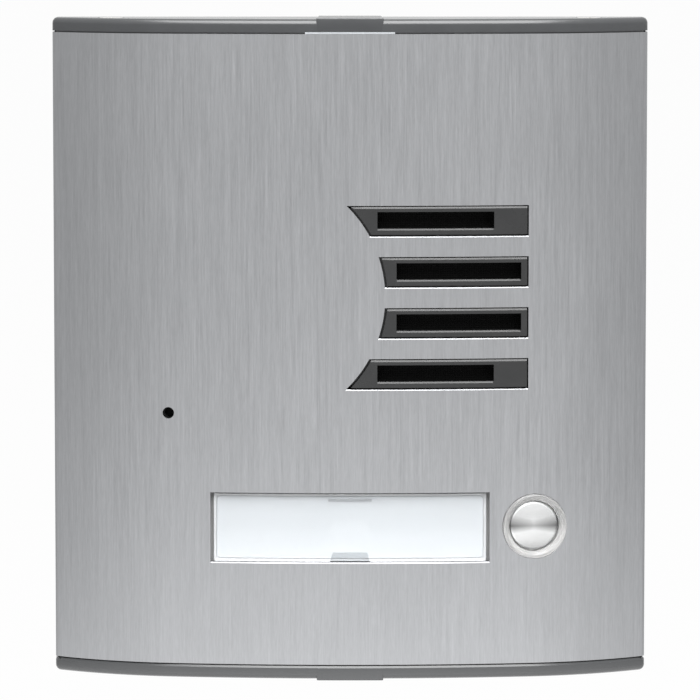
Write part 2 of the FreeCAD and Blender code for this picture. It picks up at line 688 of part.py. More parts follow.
def grille_cloth():
    """Round acoustic cloth stuck to the back of the grille flange, inside the collar."""
    front = FLANGE_BACK + SEAT_GAP
    radius = SPEAKER_RADIUS - COLLAR_WALL / 2 - 4 * SEAT_GAP
    sheet = bow_slab(SPEAKER_X - radius, SPEAKER_X + radius, front, front + CLOTH_THICKNESS,
                     GRILLE_Z - radius, GRILLE_Z + radius)
    disc = placed(rod(radius, -FRONT_DEPTH, 0), facing_wall(SPEAKER_X, 0, GRILLE_Z))
    return sheet.common(disc)


def on_speaker(shape):
    return placed(shape, facing_wall(SPEAKER_X, -SPEAKER_SEAT, GRILLE_Z))


def speaker_gasket():
    inner = SURROUND_EDGE + SEAT_GAP
    return on_speaker(tube(SPEAKER_RADIUS, inner, -SPEAKER_GASKET, 0))


def basket_radius(depth):
    """Outside radius of the basket's sloping wall at a depth behind the rim's front."""
    slope = (SPEAKER_RADIUS - BASKET_REAR) / (SPEAKER_DEPTH - SPEAKER_RIM)
    return SPEAKER_RADIUS - slope * (depth - SPEAKER_RIM)


def speaker_basket():
    """Pressed basket: flat rim, sloping wall with vent holes, flat rear ring for the pot."""
    rim_inner = SURROUND_EDGE - SURROUND_GLUE / 2
    rear_inner = MAGNET_RADIUS + REAR_RING_GAP
    slope = BASKET_WALL / 2
    shell = turned(
        (SPEAKER_RADIUS, 0), (SPEAKER_RADIUS, SPEAKER_RIM), (rim_inner, SPEAKER_RIM),
        (BASKET_REAR, SPEAKER_DEPTH), (rear_inner, SPEAKER_DEPTH),
        (rear_inner, SPEAKER_DEPTH - BASKET_WALL),
        (BASKET_REAR - slope, SPEAKER_DEPTH - BASKET_WALL), (rim_inner - slope, 0))
    vents = []
    middle = (rim_inner + BASKET_REAR) / 2
    half = BASKET_VENT / 2
    for index in range(BASKET_HOLES):
        turn = 360 / BASKET_HOLES * index
        vent = box(middle - half, middle + half, -half, half, 0, SPEAKER_DEPTH)
        vents.append(vent.rotated(Vector(), Z_AXIS, turn))
    return on_speaker(shell.cut(vents))


def speaker_cone():
    """Shallow cone with a ridged surround, glued on the front of the basket's rim."""
    sheet = CONE_SHEET
    outer = SURROUND_EDGE - SURROUND_GLUE
    inner = outer - SURROUND_WIDTH
    crest = (outer + inner) / 2
    coil = COIL_RADIUS + COIL_WALL
    return on_speaker(turned(
        (SURROUND_EDGE, -sheet), (outer, -sheet), (crest, -sheet - SURROUND_RISE), (inner, -sheet),
        (coil, CONE_DEPTH), (coil, CONE_DEPTH + sheet), (inner + sheet / 2, 0),
        (crest, -SURROUND_RISE), (outer - sheet / 2, 0), (SURROUND_EDGE, 0)))


def speaker_dust_cap():
    """Thin dome over the voice coil."""
    radius = COIL_RADIUS + COIL_WALL
    foot = CONE_DEPTH - SEAT_GAP
    sheet = CONE_SHEET
    top = foot - DUST_CAP_RISE
    inner = radius - sheet
    shoulder = top + dome_drop(radius, DUST_CAP_RISE)
    return on_speaker(turned(
        (0, top), (radius / 2, shoulder), (radius, foot),
        (inner, foot), (inner / 2, shoulder + sheet), (0, top + sheet)))


def voice_coil():
    """Coil former hanging from the cone into the magnet gap."""
    top = CONE_DEPTH + CONE_SHEET
    return on_speaker(tube(COIL_RADIUS + COIL_WALL - SEAT_GAP, COIL_RADIUS, top, top + COIL_HEIGHT))


def speaker_magnet():
    low = SPEAKER_DEPTH + POT_DEPTH - POT_WALL - MAGNET_THICKNESS
    return on_speaker(rod(MAGNET_RADIUS, low, low + MAGNET_THICKNESS))


def speaker_pot():
    """Steel cup round the magnet, welded to the back of the basket."""
    low, high = SPEAKER_DEPTH, SPEAKER_DEPTH + POT_DEPTH
    cup = rod(POT_RADIUS, low, high).cut(rod(POT_RADIUS - POT_WALL, low, high - POT_WALL))
    return on_speaker(cup)


def speaker_top_plate():
    """Steel disc on the magnet that closes the flux across the coil gap."""
    high = SPEAKER_DEPTH + POT_DEPTH - POT_WALL - MAGNET_THICKNESS
    return on_speaker(rod(MAGNET_RADIUS + TOP_PLATE_LIP, high - TOP_PLATE_THICKNESS, high))


# ---------------------------------------------------------------- microphone
def mic_depths():
    """Front of the rubber boot, front and back of the capsule, along the normal."""
    front = inner_seat(MIC_RADIUS + BOOT_WALL)
    return front, front + BOOT_FRONT, front + BOOT_FRONT + MIC_HEIGHT


def mic_boot():
    front, capsule, back = mic_depths()
    boot = rod(MIC_RADIUS + BOOT_WALL, front, back)
    cuts = [rod(MIC_RADIUS, capsule, back), rod(MIC_HOLE, front, capsule)]
    return placed(boot.cut(cuts), on_skin(MIC_X, MIC_Z))


def microphone():
    """Electret capsule with a rolled rim."""
    front, capsule, back = mic_depths()
    dish = capsule + MIC_DISH
    can = turned((0, dish), (MIC_RADIUS - MIC_RIM, dish),
                 (MIC_RADIUS - MIC_RIM, capsule), (MIC_RADIUS - SEAT_GAP, capsule),
                 (MIC_RADIUS - SEAT_GAP, back), (0, back))
    return placed(can, on_skin(MIC_X, MIC_Z))


# ---------------------------------------------------------------- name window
def name_lens():
    """Clear bowed lens with a sloping finger notch cut into its lower edge."""
    slab = bow_slab(-LENS_HALF, LENS_HALF, -LENS_PROUD, LENS_BACK, LENS_BOTTOM, LENS_TOP)
    frame = cornered_box(-LENS_HALF, LENS_HALF, -2 * FRONT_DEPTH, 0,
                        LENS_BOTTOM, LENS_TOP, LENS_CORNER)
    corners = [
        Vector(-NOTCH_BASE / 2, 0, LENS_BOTTOM),
        Vector(NOTCH_BASE / 2, 0, LENS_BOTTOM),
        Vector(NOTCH_TOP / 2, 0, LENS_BOTTOM + NOTCH_HEIGHT),
        Vector(-NOTCH_TOP / 2, 0, LENS_BOTTOM + NOTCH_HEIGHT),
    ]
    outline = Part.Face(Part.makePolygon(corners + corners[:1]))
    floor = skin_y(0, NOTCH_DEPTH - LENS_PROUD)
    notch = outline.extrude(Y_AXIS * FRONT_DEPTH).translated(Y_AXIS * (floor - FRONT_DEPTH))
    return slab.common(frame).cut(notch)


def card_box():
    """Half width, low and high of the name card."""
    rim = TRAY_RIM + CARD_GAP
    return LENS_HALF - rim, LENS_BOTTOM + rim, LENS_TOP - rim


def card_tab(gap):
    """Small tongue of the tray that holds the card down, or the card's slot round it."""
    half = CARD_TAB_WIDTH / 2 + gap
    high = LENS_TOP - CARD_TAB_DROP + gap
    return bow_slab(-half, half, LENS_BACK + SEAT_GAP, TRAY_FRONT,
                    high - CARD_TAB_HEIGHT - 2 * gap, high)


def name_card():
    half, low, high = card_box()
    return bow_slab(-half, half, CARD_DEPTH, TRAY_FRONT, low, high).cut(card_tab(CARD_GAP))


def name_tray():
    """Translucent light box: bowed plate with a rim round the card, walls behind it."""
    low, high = LENS_BOTTOM, LENS_TOP
    plate = bow_slab(-LENS_HALF, LENS_HALF, TRAY_FRONT, TRAY_BACK, low, high)
    rim = bow_slab(-LENS_HALF, LENS_HALF, LENS_BACK + SEAT_GAP, TRAY_FRONT, low, high)
    inner_half = LENS_HALF - TRAY_RIM
    rim = rim.cut(bow_slab(-inner_half, inner_half, 0, TRAY_BACK, low + TRAY_RIM, high - TRAY_RIM))
    flange_half = WINDOW_WIDTH / 2 + TRAY_MARGIN
    flange_rise = WINDOW_HEIGHT / 2 + TRAY_END_MARGIN
    flange = bow_slab(-flange_half, flange_half, SKIN + SEAT_GAP, TRAY_BACK,
                      NAME_Z - flange_rise, NAME_Z + flange_rise)
    box_half, box_low, box_high = light_box()
    walls = bow_block(-box_half, box_half, TRAY_FRONT, -BOX_DEPTH, box_low, box_high)
    hollow_half = box_half - BOX_WALL
    hollow = bow_block(-hollow_half, hollow_half, TRAY_BACK, 0, box_low + BOX_WALL, box_high - BOX_WALL)
    tray = fused([plate, rim, flange, walls.cut(hollow), card_tab(0)])
    return tray.cut(button_relief())


def light_box():
    """Half width, low and high of the tray's light box, clear of the button's crown."""
    half = WINDOW_WIDTH / 2 - BOX_INSET
    rise = WINDOW_HEIGHT / 2
    return half, NAME_Z - rise, NAME_Z + rise


def light_board():
    half, low, high = light_box()
    return box(-half, half, -BOX_DEPTH, -BOX_DEPTH + LIGHT_BOARD, low, high)


def name_lights():
    """Row of lamps on the front of the light board."""
    width, depth, height = LIGHT_SIZE
    half, low, high = light_box()
    spacing = 2 * half / LIGHT_COUNT
    lamps = []
    for index in range(LIGHT_COUNT):
        x = (index - (LIGHT_COUNT - 1) / 2) * spacing
        lamps.append(box(x - width / 2, x + width / 2, -BOX_DEPTH - depth, -BOX_DEPTH,
                         NAME_Z - height / 2, NAME_Z + height / 2))
    return Part.makeCompound(lamps)


# ---------------------------------------------------------------- call button
RING_SEAT = inner_seat(RING_FLANGE_RADIUS)
RING_BACK = RING_SEAT + RING_FLANGE
DISC_RIM = DISC_DROP - RING_PROUD
CAVITY_FLOOR = RING_BACK + SEAT_GAP + PLUNGER_FLANGE + PRESS_TRAVEL + SEAT_GAP
SWITCH_FRONT = CAVITY_FLOOR + HOUSING_FLOOR + SWITCH_GAP
HOUSING_BACK = SWITCH_FRONT + SWITCH_HEIGHT
POCKET_TOP = RING_BACK + SEAT_GAP + PLUNGER_FLANGE - SPRING_POCKET
STEM_TIP = CAVITY_FLOOR + HOUSING_FLOOR - SWITCH_GAP
ACTUATOR_END = HOUSING_BACK - PRESS_TRAVEL - 2 * SWITCH_GAP


def on_button(shape):
    return placed(shape, on_skin(BUTTON_X, NAME_Z))


def button_ring():
    """Clear bezel: chamfered lip, sloping bore and a flange behind the skin."""
    lip_top = -RING_PROUD
    lip = RING_LIP
    inner = RING_RADIUS - lip
    return on_button(turned(
        (RING_RADIUS, lip_top + lip / 2), (RING_RADIUS - lip / 2, lip_top),
        (inner, lip_top), (RING_BORE, lip_top + lip), (RING_BORE, RING_BACK),
        (RING_FLANGE_RADIUS, RING_BACK), (RING_FLANGE_RADIUS, RING_SEAT),
        (RING_RADIUS, RING_SEAT), sag=FINE_SAG))


def call_button():
    """Chromed cup with a slightly domed face."""
    top = DISC_RIM - DISC_DOME
    inner = DISC_RADIUS - DISC_SKIRT
    under = DISC_RIM + DISC_THICKNESS
    crown = DISC_RADIUS - DISC_EDGE
    return on_button(turned(
        (0, top), (crown / 2, top + dome_drop(crown, DISC_DOME)), (crown, DISC_RIM),
        (DISC_RADIUS, DISC_RIM + DISC_EDGE), (DISC_RADIUS, RING_BACK), (inner, RING_BACK),
        (inner, under), (0, under), sag=FINE_SAG))


def button_plunger():
    """Moulded core of the button: body in the cup, catch flange, spring pocket and stem."""
    body = DISC_RADIUS - DISC_SKIRT - SEAT_GAP
    top = DISC_RIM + DISC_THICKNESS
    catch = RING_BACK + SEAT_GAP
    under = catch + PLUNGER_FLANGE
    pocket_outer, pocket_inner = SPRING_RADIUS + SPRING_ROOM, SPRING_RADIUS - SPRING_ROOM
    return on_button(turned(
        (0, top), (body, top), (body, catch), (PLUNGER_FLANGE_RADIUS, catch),
        (PLUNGER_FLANGE_RADIUS, under), (pocket_outer, under), (pocket_outer, POCKET_TOP),
        (pocket_inner, POCKET_TOP), (pocket_inner, under), (STEM_RADIUS, under),
        (STEM_RADIUS, STEM_TIP), (0, STEM_TIP)))


def button_spring():
    """Return spring between the plunger's pocket and the housing's floor."""
    low, high = POCKET_TOP + SPRING_WIRE, CAVITY_FLOOR - SPRING_WIRE
    count = round(SPRING_TURNS * SPRING_STEPS)
    sections = [
        wire_section(360 / SPRING_STEPS * index, low + (high - low) * index / count)
        for index in range(count + 1)
    ]
    return on_button(Part.makeLoft(sections, True, True))


def wire_section(turn, height):
    """Many-sided section of the spring's wire, at one turn round the spring."""
    corners = []
    for side in range(SPRING_SIDES + 1):
        angle = 2 * math.pi * side / SPRING_SIDES
        corners.append(Vector(SPRING_RADIUS + SPRING_WIRE * math.cos(angle), 0,
                              height + SPRING_WIRE * math.sin(angle)))
    section = Part.makePolygon(corners)
    section.rotate(Vector(), Z_AXIS, turn)
    return section


def button_housing():
    """Cup behind the ring: flange, plunger cavity, floor with the stem's guide, switch pocket."""
    body = rod(HOUSING_RADIUS, RING_BACK, HOUSING_BACK)
    flange = rod(HOUSING_FLANGE_RADIUS, RING_BACK, RING_BACK + HOUSING_FLANGE)
    half = SWITCH_SIZE / 2 + SWITCH_GAP
    floor = CAVITY_FLOOR + HOUSING_FLOOR
    cuts = [
        rod(HOUSING_CAVITY, RING_BACK, CAVITY_FLOOR),
        rod(STEM_RADIUS + STEM_FIT, CAVITY_FLOOR, floor),
        box(-half, half, -half, half, floor, HOUSING_BACK),
    ]
    return on_button(fused([body, flange]).cut(cuts))


def call_switch():
    """Tactile switch body with the actuator's well."""
    half = SWITCH_SIZE / 2
    block = box(-half, half, -half, half, SWITCH_FRONT, HOUSING_BACK)
    well = rod(ACTUATOR_RADIUS + ACTUATOR_FIT, SWITCH_FRONT, HOUSING_BACK - SWITCH_GAP)
    return on_button(block.cut(well))


def switch_actuator():
    return on_button(rod(ACTUATOR_RADIUS, STEM_TIP, ACTUATOR_END))


def button_board():
    return on_button(rod(BUTTON_BOARD_RADIUS, HOUSING_BACK, HOUSING_BACK + BUTTON_BOARD))


# ---------------------------------------------------------------- chassis
def chassis_half_width():
    """Half width that clears the inner skin at the plate's front corners and the side walls."""
    drop = SHOULDER_CENTRE_Y - CHASSIS_FRONT
    across = math.sqrt((SHOULDER_RADIUS - SKIN) ** 2 - drop ** 2)
    return min(SHOULDER_CENTRE_X + across, HALF_WIDTH - SKIN) - CHASSIS_SIDE_GAP


def chassis():
    """Moulded plate in the rails: crowns that press the speaker, microphone and button forward,
    board bosses behind, slots for the wall frame's tabs."""
    half = chassis_half_width()
    plate = box(-half, half, CHASSIS_FRONT, CHASSIS_BACK, -CHASSIS_TOP, CHASSIS_TOP)
    in_front = box(-half, half, -2 * FRONT_DEPTH, CHASSIS_FRONT + CHASSIS_THICKNESS / 2,
                   -CHASSIS_TOP, CHASSIS_TOP)
    speaker_back = -SPEAKER_SEAT + SPEAKER_RIM
    crowns = [
        placed(tube(SPEAKER_RADIUS, SPEAKER_RADIUS - CROWN_WALL, speaker_back, CHASSIS_FRONT),
               facing_wall(SPEAKER_X, 0, GRILLE_Z))
    ]
    mic_back = mic_depths()[2]
    mic_crown = tube(MIC_RADIUS + BOOT_WALL, MIC_RADIUS, mic_back, mic_back + FRONT_DEPTH)
    crowns.append(placed(mic_crown, on_skin(MIC_X, MIC_Z)).common(in_front))
    button_bore = HOUSING_FLANGE_RADIUS - BUTTON_CROWN_WALL
    button_crown = tube(HOUSING_FLANGE_RADIUS, button_bore, RING_BACK + HOUSING_FLANGE,
                        FRONT_DEPTH)
    crowns.append(on_button(button_crown).common(in_front))
    box_half, box_low, box_high = light_box()
    light_back = -BOX_DEPTH + LIGHT_BOARD
    ribs = [
        box(x - BOX_WALL / 2, x + BOX_WALL / 2, light_back, CHASSIS_FRONT, box_low, box_high)
        for x in (-box_half / 2, box_half / 2)
    ]
    bosses = [
        placed(rod(BOSS_RADIUS, CHASSIS_BACK, BOARD_DEPTH), facing_wall(x, 0, z))
        for x, z in boss_places()
    ]
    body = fused([plate] + crowns + ribs + bosses)
    cuts = [
        placed(rod(BOSS_BORE, CHASSIS_BACK, BOARD_DEPTH), facing_wall(x, 0, z))
        for x, z in boss_places()
    ]
    speaker_hole = max(POT_RADIUS, basket_radius(SPEAKER_SEAT + CHASSIS_FRONT)) + POT_GAP
    pot_hole = rod(speaker_hole, CHASSIS_FRONT, CHASSIS_BACK)
    cuts.append(placed(pot_hole, facing_wall(SPEAKER_X, 0, GRILLE_Z)))
    cuts.append(on_button(rod(button_bore, RING_BACK + HOUSING_FLANGE, FRONT_DEPTH)))
    cuts.append(placed(rod(MIC_RADIUS + BOOT_WALL, 0, mic_back), on_skin(MIC_X, MIC_Z)))
    cuts.extend(tab_slots())
    for x in (-FIX_SPACING_X / 2, FIX_SPACING_X / 2):
        for side in (-1, 1):
            round_end = placed(rod(SCREW_NOTCH, CHASSIS_FRONT, CHASSIS_BACK),
                               facing_wall(x, 0, side * FIX_Z))
            low, high = sorted((side * FIX_Z, side * HALF_HEIGHT))
            mouth = box(x - SCREW_NOTCH, x + SCREW_NOTCH, CHASSIS_FRONT, CHASSIS_BACK, low, high)
            cuts.extend([round_end, mouth])
    return body.cut(cuts)


def boss_places():
    return [(x, z) for x in (-BOSS_X, BOSS_X) for z in (-BOSS_Z, BOSS_Z)]


def tab_slots():
    """Slots in the chassis plate round the wall frame's tabs; the lock tab's is open downward."""
    slots = []
    for x in (-HOOK_TAB_SPACING / 2, HOOK_TAB_SPACING / 2):
        half = HOOK_TAB_WIDTH / 2 + TAB_GAP
        slots.append(box(x - half, x + half, CHASSIS_FRONT, CHASSIS_BACK,
                         OPENING_HALF_HEIGHT - FRAME_THICKNESS - TAB_GAP,
                         OPENING_HALF_HEIGHT + TAB_GAP))
    half = LOCK_TAB_WIDTH / 2 + TAB_GAP
    slots.append(box(-half, half, CHASSIS_FRONT, CHASSIS_BACK, -HALF_HEIGHT,
                     -OPENING_HALF_HEIGHT + FRAME_THICKNESS + TAB_GAP))
    return slots


# ---------------------------------------------------------------- wall frame and lock
def wall_frame():
    """Steel frame screwed to the wall, with two hook tabs above."""
    plate = cornered_box(-FRAME_HALF_WIDTH, FRAME_HALF_WIDTH, -FRAME_THICKNESS, 0,
                        -FRAME_HALF_HEIGHT, FRAME_HALF_HEIGHT, FRAME_CORNER)
    opening = cornered_box(-OPENING_HALF_WIDTH, OPENING_HALF_WIDTH, -FRAME_THICKNESS, 0,
                          -OPENING_HALF_HEIGHT, OPENING_HALF_HEIGHT, FRAME_CORNER)
    plate = plate.cut(opening)
    tabs = []
    for x in (-HOOK_TAB_SPACING / 2, HOOK_TAB_SPACING / 2):
        tabs.append(box(x - HOOK_TAB_WIDTH / 2, x + HOOK_TAB_WIDTH / 2, -TAB_REACH, 0,
                        OPENING_HALF_HEIGHT - FRAME_THICKNESS, OPENING_HALF_HEIGHT))
    holes = [
        placed(true_rod(FIX_HOLE, -FRAME_THICKNESS, 0), facing_wall(x, 0, z))
        for x in (-FIX_SPACING_X / 2, FIX_SPACING_X / 2) for z in (-FIX_Z, FIX_Z)
    ]
    return fused([plate] + tabs).cut(holes)


def lock_bracket():
    """Angle welded on the frame's lower strip: foot on the frame, tab with the lock screw's hole."""
    half = LOCK_TAB_WIDTH / 2
    low = -OPENING_HALF_HEIGHT
    tab = box(-half, half, -TAB_REACH, -FRAME_THICKNESS, low, low + FRAME_THICKNESS)
    foot = box(-half, half, -2 * FRAME_THICKNESS, -FRAME_THICKNESS, low - LOCK_FOOT, low)
    side = LOCK_TAB_HOLE
    hole = box(-side, side, -LOCK_DEPTH - side, -LOCK_DEPTH + side, low, low + FRAME_THICKNESS)
    return fused([tab, foot]).cut(hole)


def lock_screw():
    """Socket set screw in the bottom cap, backed off so that the panel can be drawn off."""
    low = -PAD_FACE
    high = low + LOCK_SCREW_LENGTH
    point = LOCK_SCREW_RADIUS / 2
    screw = turned(
        (0, low), (LOCK_SCREW_RADIUS - LOCK_CHAMFER, low), (LOCK_SCREW_RADIUS, low + LOCK_CHAMFER),
        (LOCK_SCREW_RADIUS, high - point), (point, high), (0, high))
    corner = 2 * LOCK_SOCKET / math.sqrt(3)
    hexagon = [
        Vector(corner * math.cos(math.radians(60 * k)), corner * math.sin(math.radians(60 * k)), low)
        for k in range(6)
    ]
    socket = Part.Face(Part.makePolygon(hexagon + hexagon[:1])).extrude(Z_AXIS * LOCK_SOCKET_DEPTH)
    return screw.cut(socket).translated(Y_AXIS * -LOCK_DEPTH)


# ---------------------------------------------------------------- rear cover and main board
def rear_cover():
    """Tub behind the chassis: cornered walls, screw pillars, terminal window and wire entry."""
    tub = cornered_box(-COVER_HALF_WIDTH, COVER_HALF_WIDTH, CHASSIS_BACK, REAR_DEPTH,
                      -COVER_HALF_HEIGHT, COVER_HALF_HEIGHT, COVER_CORNER)
    back_rim = [edge for edge in tub.Edges if abs(edge.BoundBox.YMin - REAR_DEPTH) < 0.01]
    tub = tub.makeChamfer(COVER_RIM, back_rim)
    inner_width, inner_height = COVER_HALF_WIDTH - COVER_WALL, COVER_HALF_HEIGHT - COVER_WALL
    tub = tub.cut(cornered_box(-inner_width, inner_width, CHASSIS_BACK, COVER_INNER,
                              -inner_height, inner_height, COVER_CORNER - COVER_WALL / 3))
    pillars = [
        placed(rod(BOSS_RADIUS, BOARD_BACK, COVER_INNER), facing_wall(x, 0, z))
        for x, z in boss_places()
    ]
    tub = fused([tub] + pillars)
    hole = countersunk_hole(COVER_SCREW_RADIUS, COVER_SCREW_HEAD, COVER_SCREW_HOLE,
                            REAR_DEPTH - BOARD_BACK)
    inward = Rotation(X_AXIS, 90)
    cuts = [placed(hole, Placement(Vector(x, REAR_DEPTH, z), inward)) for x, z in boss_places()]
    margin = TERMINAL_WINDOW_MARGIN
    cuts.append(box(-TERMINAL_WIDTH / 2 - margin, TERMINAL_WIDTH / 2 + margin, COVER_INNER,
                    REAR_DEPTH, TERMINAL_LOW - margin, TERMINAL_LOW + TERMINAL_HEIGHT + margin))
    entry_low = BOARD_BACK + SEAT_GAP
    cuts.append(box(-ENTRY_WIDTH / 2, ENTRY_WIDTH / 2, entry_low, entry_low + ENTRY_HEIGHT,
                    -COVER_HALF_HEIGHT, -inner_height))
    for x in TRIMMER_XS:
        cuts.append(placed(rod(TRIMMER_HOLE, COVER_INNER, REAR_DEPTH), facing_wall(x, 0, TRIMMER_Z)))
    return tub.cut(cuts)


def cover_screws():
    """Four long screws through the cover's pillars and the board into the chassis bosses."""
    screw = countersunk_screw(COVER_SCREW_RADIUS, COVER_SCREW_HEAD, COVER_SCREW_LENGTH)
    inward = Rotation(X_AXIS, 90)
    return Part.makeCompound([
        placed(screw, Placement(Vector(x, REAR_DEPTH, z), inward)) for x, z in boss_places()
    ])


def main_board():
    board = box(-BOARD_HALF_WIDTH, BOARD_HALF_WIDTH, BOARD_DEPTH, BOARD_BACK,
                -BOARD_HALF_HEIGHT, BOARD_HALF_HEIGHT)
    holes = [
        placed(rod(COVER_SCREW_HOLE, BOARD_DEPTH, BOARD_BACK), facing_wall(x, 0, z))
        for x, z in boss_places()
    ]
    return board.cut(holes)


def terminal_xs():
    first = -(TERMINAL_WAYS - 1) / 2 * TERMINAL_PITCH
    return [first + index * TERMINAL_PITCH for index in range(TERMINAL_WAYS)]


def terminal_block():
    """Screw terminal block: wire mouths below, screw wells behind."""
    low, high = TERMINAL_LOW, TERMINAL_LOW + TERMINAL_HEIGHT
    back = BOARD_BACK + TERMINAL_DEPTH
    block = box(-TERMINAL_WIDTH / 2, TERMINAL_WIDTH / 2, BOARD_BACK, back, low, high)
    cuts = []
    half = TERMINAL_ENTRY / 2
    for x in terminal_xs():
        y = BOARD_BACK + CLAMP_STAND + half
        cuts.append(box(x - half, x + half, y - half, y + half + 2 * CLAMP_WALL,
                        low, high - CLAMP_STAND))
        well = rod(TERMINAL_SCREW + SEAT_GAP, y, back)
        cuts.append(placed(well, facing_wall(x, 0, (low + high) / 2)))
    return block.cut(cuts)


def terminal_clamps():
    """Brass cage plate in each way, under its screw."""
    middle = TERMINAL_LOW + TERMINAL_HEIGHT / 2
    half = TERMINAL_ENTRY / 2 - SEAT_GAP
    y = BOARD_BACK + CLAMP_STAND
    rise = CLAMP_HEIGHT / 2
    clamps = [
        box(x - half, x + half, y, y + CLAMP_WALL, middle - rise, middle + rise)
        for x in terminal_xs()
    ]
    return Part.makeCompound(clamps)


def terminal_screws():
    """Clamp screws, their heads just under the block's back."""
    middle = TERMINAL_LOW + TERMINAL_HEIGHT / 2
    back = BOARD_BACK + TERMINAL_DEPTH - TERMINAL_SINK
    screw = turned((0, 0), (TERMINAL_SCREW, 0), (TERMINAL_SCREW, TERMINAL_HEAD),
                   (TERMINAL_SHANK, TERMINAL_HEAD), (TERMINAL_SHANK, TERMINAL_LENGTH),
                   (0, TERMINAL_LENGTH))
    inward = Rotation(X_AXIS, 90)
    return Part.makeCompound([
        placed(screw, Placement(Vector(x, back, middle), inward)) for x in terminal_xs()
    ])


def trimmer_bodies():
    """Two preset volume controls on the back of the board."""
    bodies = []
    half = TRIMMER_SIZE / 2
    back = BOARD_BACK + TRIMMER_HEIGHT
    for x in TRIMMER_XS:
        body = box(x - half, x + half, BOARD_BACK, back, TRIMMER_Z - half, TRIMMER_Z + half)
        well = true_rod(ROTOR_RADIUS + ROTOR_FIT, back - ROTOR_DEPTH - SEAT_GAP, back)
        bodies.append(body.cut(placed(well, facing_wall(x, 0, TRIMMER_Z))))
    return Part.makeCompound(bodies)


def volume_rotor(x):
    """Slotted rotor of a preset control."""
    back = BOARD_BACK + TRIMMER_HEIGHT
    width, depth = ROTOR_SLOT
    rotor = true_rod(ROTOR_RADIUS, back - ROTOR_DEPTH, back + ROTOR_PROUD)
    slot = box(-ROTOR_RADIUS, ROTOR_RADIUS, -width / 2, width / 2,
               back + ROTOR_PROUD - depth, back + ROTOR_PROUD)
    return placed(rotor.cut(slot), facing_wall(x, 0, TRIMMER_Z))


def capacitors():
    """Upright electrolytic cans on the back of the board."""
    cans = []
    for x, z, radius, height in CAPACITORS:
        can = turned((0, 0), (radius, 0), (radius, height - CAN_ROUND),
                     (radius - CAN_ROUND, height), (0, height))
        cans.append(placed(can, facing_wall(x, BOARD_BACK, z)))
    return Part.makeCompound(cans)


def line_transformer():
    """Laminated core round a bobbin."""
    width, depth, height = TRANSFORMER_SIZE
    x, z = TRANSFORMER_PLACE
    wide, tall, step = width / 2, height / 2, TRANSFORMER_STEP
    low = BOARD_BACK + TRANSFORMER_STAND
    core = box(x - wide, x + wide, low, low + depth, z - tall + step, z + tall - step)
    bobbin = box(x - wide + step, x + wide - step, BOARD_BACK, BOARD_BACK + depth,
                 z - tall, z + tall)
    return fused([core, bobbin])


def amplifier_chip():
    """Dual-in-line package with its legs down to the board."""
    width, depth, height = CHIP_SIZE
    x, z = CHIP_PLACE
    y = BOARD_BACK + CHIP_STAND
    body = box(x - width / 2, x + width / 2, y, y + depth, z - height / 2, z + height / 2)
    legs = []
    spacing = height / CHIP_LEGS
    for index in range(CHIP_LEGS):
        centre = z + (index - (CHIP_LEGS - 1) / 2) * spacing
        for side in (-1, 1):
            inner, outer = sorted((x + side * width / 2, x + side * (width / 2 + CHIP_LEG_REACH)))
            legs.append(box(inner, outer, BOARD_BACK, y + depth / 2,
                            centre - CHIP_LEG / 2, centre + CHIP_LEG / 2))
    return fused([body] + legs)


def link_header():
    """Pin header on the front of the board that takes the leads."""
    x, z = HEADER_PLACE
    half_width = HEADER_PINS * HEADER_PITCH / 2
    half_height = HEADER_PITCH / 2
    low = BOARD_DEPTH - HEADER_HEIGHT
    return box(x - half_width, x + half_width, low, BOARD_DEPTH, z - half_height, z + half_height)


# ---------------------------------------------------------------- the pieces
NODES = {
    "wall_frame": wall_frame,
    "lock_bracket": lock_bracket,
    "front_panel": front_panel,
    "top_cap": lambda: end_cap(False),
    "bottom_cap": lambda: mirrored_down(end_cap(True)),
    "cap_screws": cap_screws,
    "wall_gasket": wall_gasket,
    "chassis": chassis,
    "grille": grille,
    "grille_cloth": grille_cloth,
    "speaker_gasket": speaker_gasket,
    "speaker_basket": speaker_basket,
    "speaker_cone": speaker_cone,
    "speaker_dust_cap": speaker_dust_cap,
    "voice_coil": voice_coil,
    "speaker_magnet": speaker_magnet,
    "speaker_top_plate": speaker_top_plate,
    "speaker_pot": speaker_pot,
    "mic_boot": mic_boot,
    "microphone": microphone,
    "name_lens": name_lens,
    "name_card": name_card,
    "name_tray": name_tray,
    "name_lights": name_lights,
    "light_board": light_board,
    "button_ring": button_ring,
    "call_button": call_button,
    "button_plunger": button_plunger,
    "button_spring": button_spring,
    "button_housing": button_housing,
    "call_switch": call_switch,
    "switch_actuator": switch_actuator,
    "button_board": button_board,
    "lock_screw": lock_screw,
    "rear_cover": rear_cover,
    "cover_screws": cover_screws,
    "main_board": main_board,
    "terminal_block": terminal_block,
    "terminal_clamps": terminal_clamps,
    "terminal_screws": terminal_screws,
    "trimmer_bodies": trimmer_bodies,
    "speaker_volume_rotor": lambda: volume_rotor(TRIMMER_XS[0]),
    "mic_volume_rotor": lambda: volume_rotor(TRIMMER_XS[1]),
    "capacitors": capacitors,
    "line_transformer": line_transformer,
    "amplifier_chip": amplifier_chip,
    "link_header": link_header,
}


def main():
    os.makedirs("parts", exist_ok=True)
    for name, make in NODES.items():
        shape = make()
        assert shape.isValid(), f"{name} is not a valid shape"
        assert shape.Solids, f"{name} holds no solid"
        shape.exportStep(os.path.join("parts", name + ".step"))
        size = shape.BoundBox
        print(f"{name}: {len(shape.Solids)} solid, {len(shape.Faces)} faces, "
              f"volume {shape.Volume:.1f}, x {size.XMin:.2f} {size.XMax:.2f}, "
              f"y {size.YMin:.2f} {size.YMax:.2f}, z {size.ZMin:.2f} {size.ZMax:.2f}")


main()
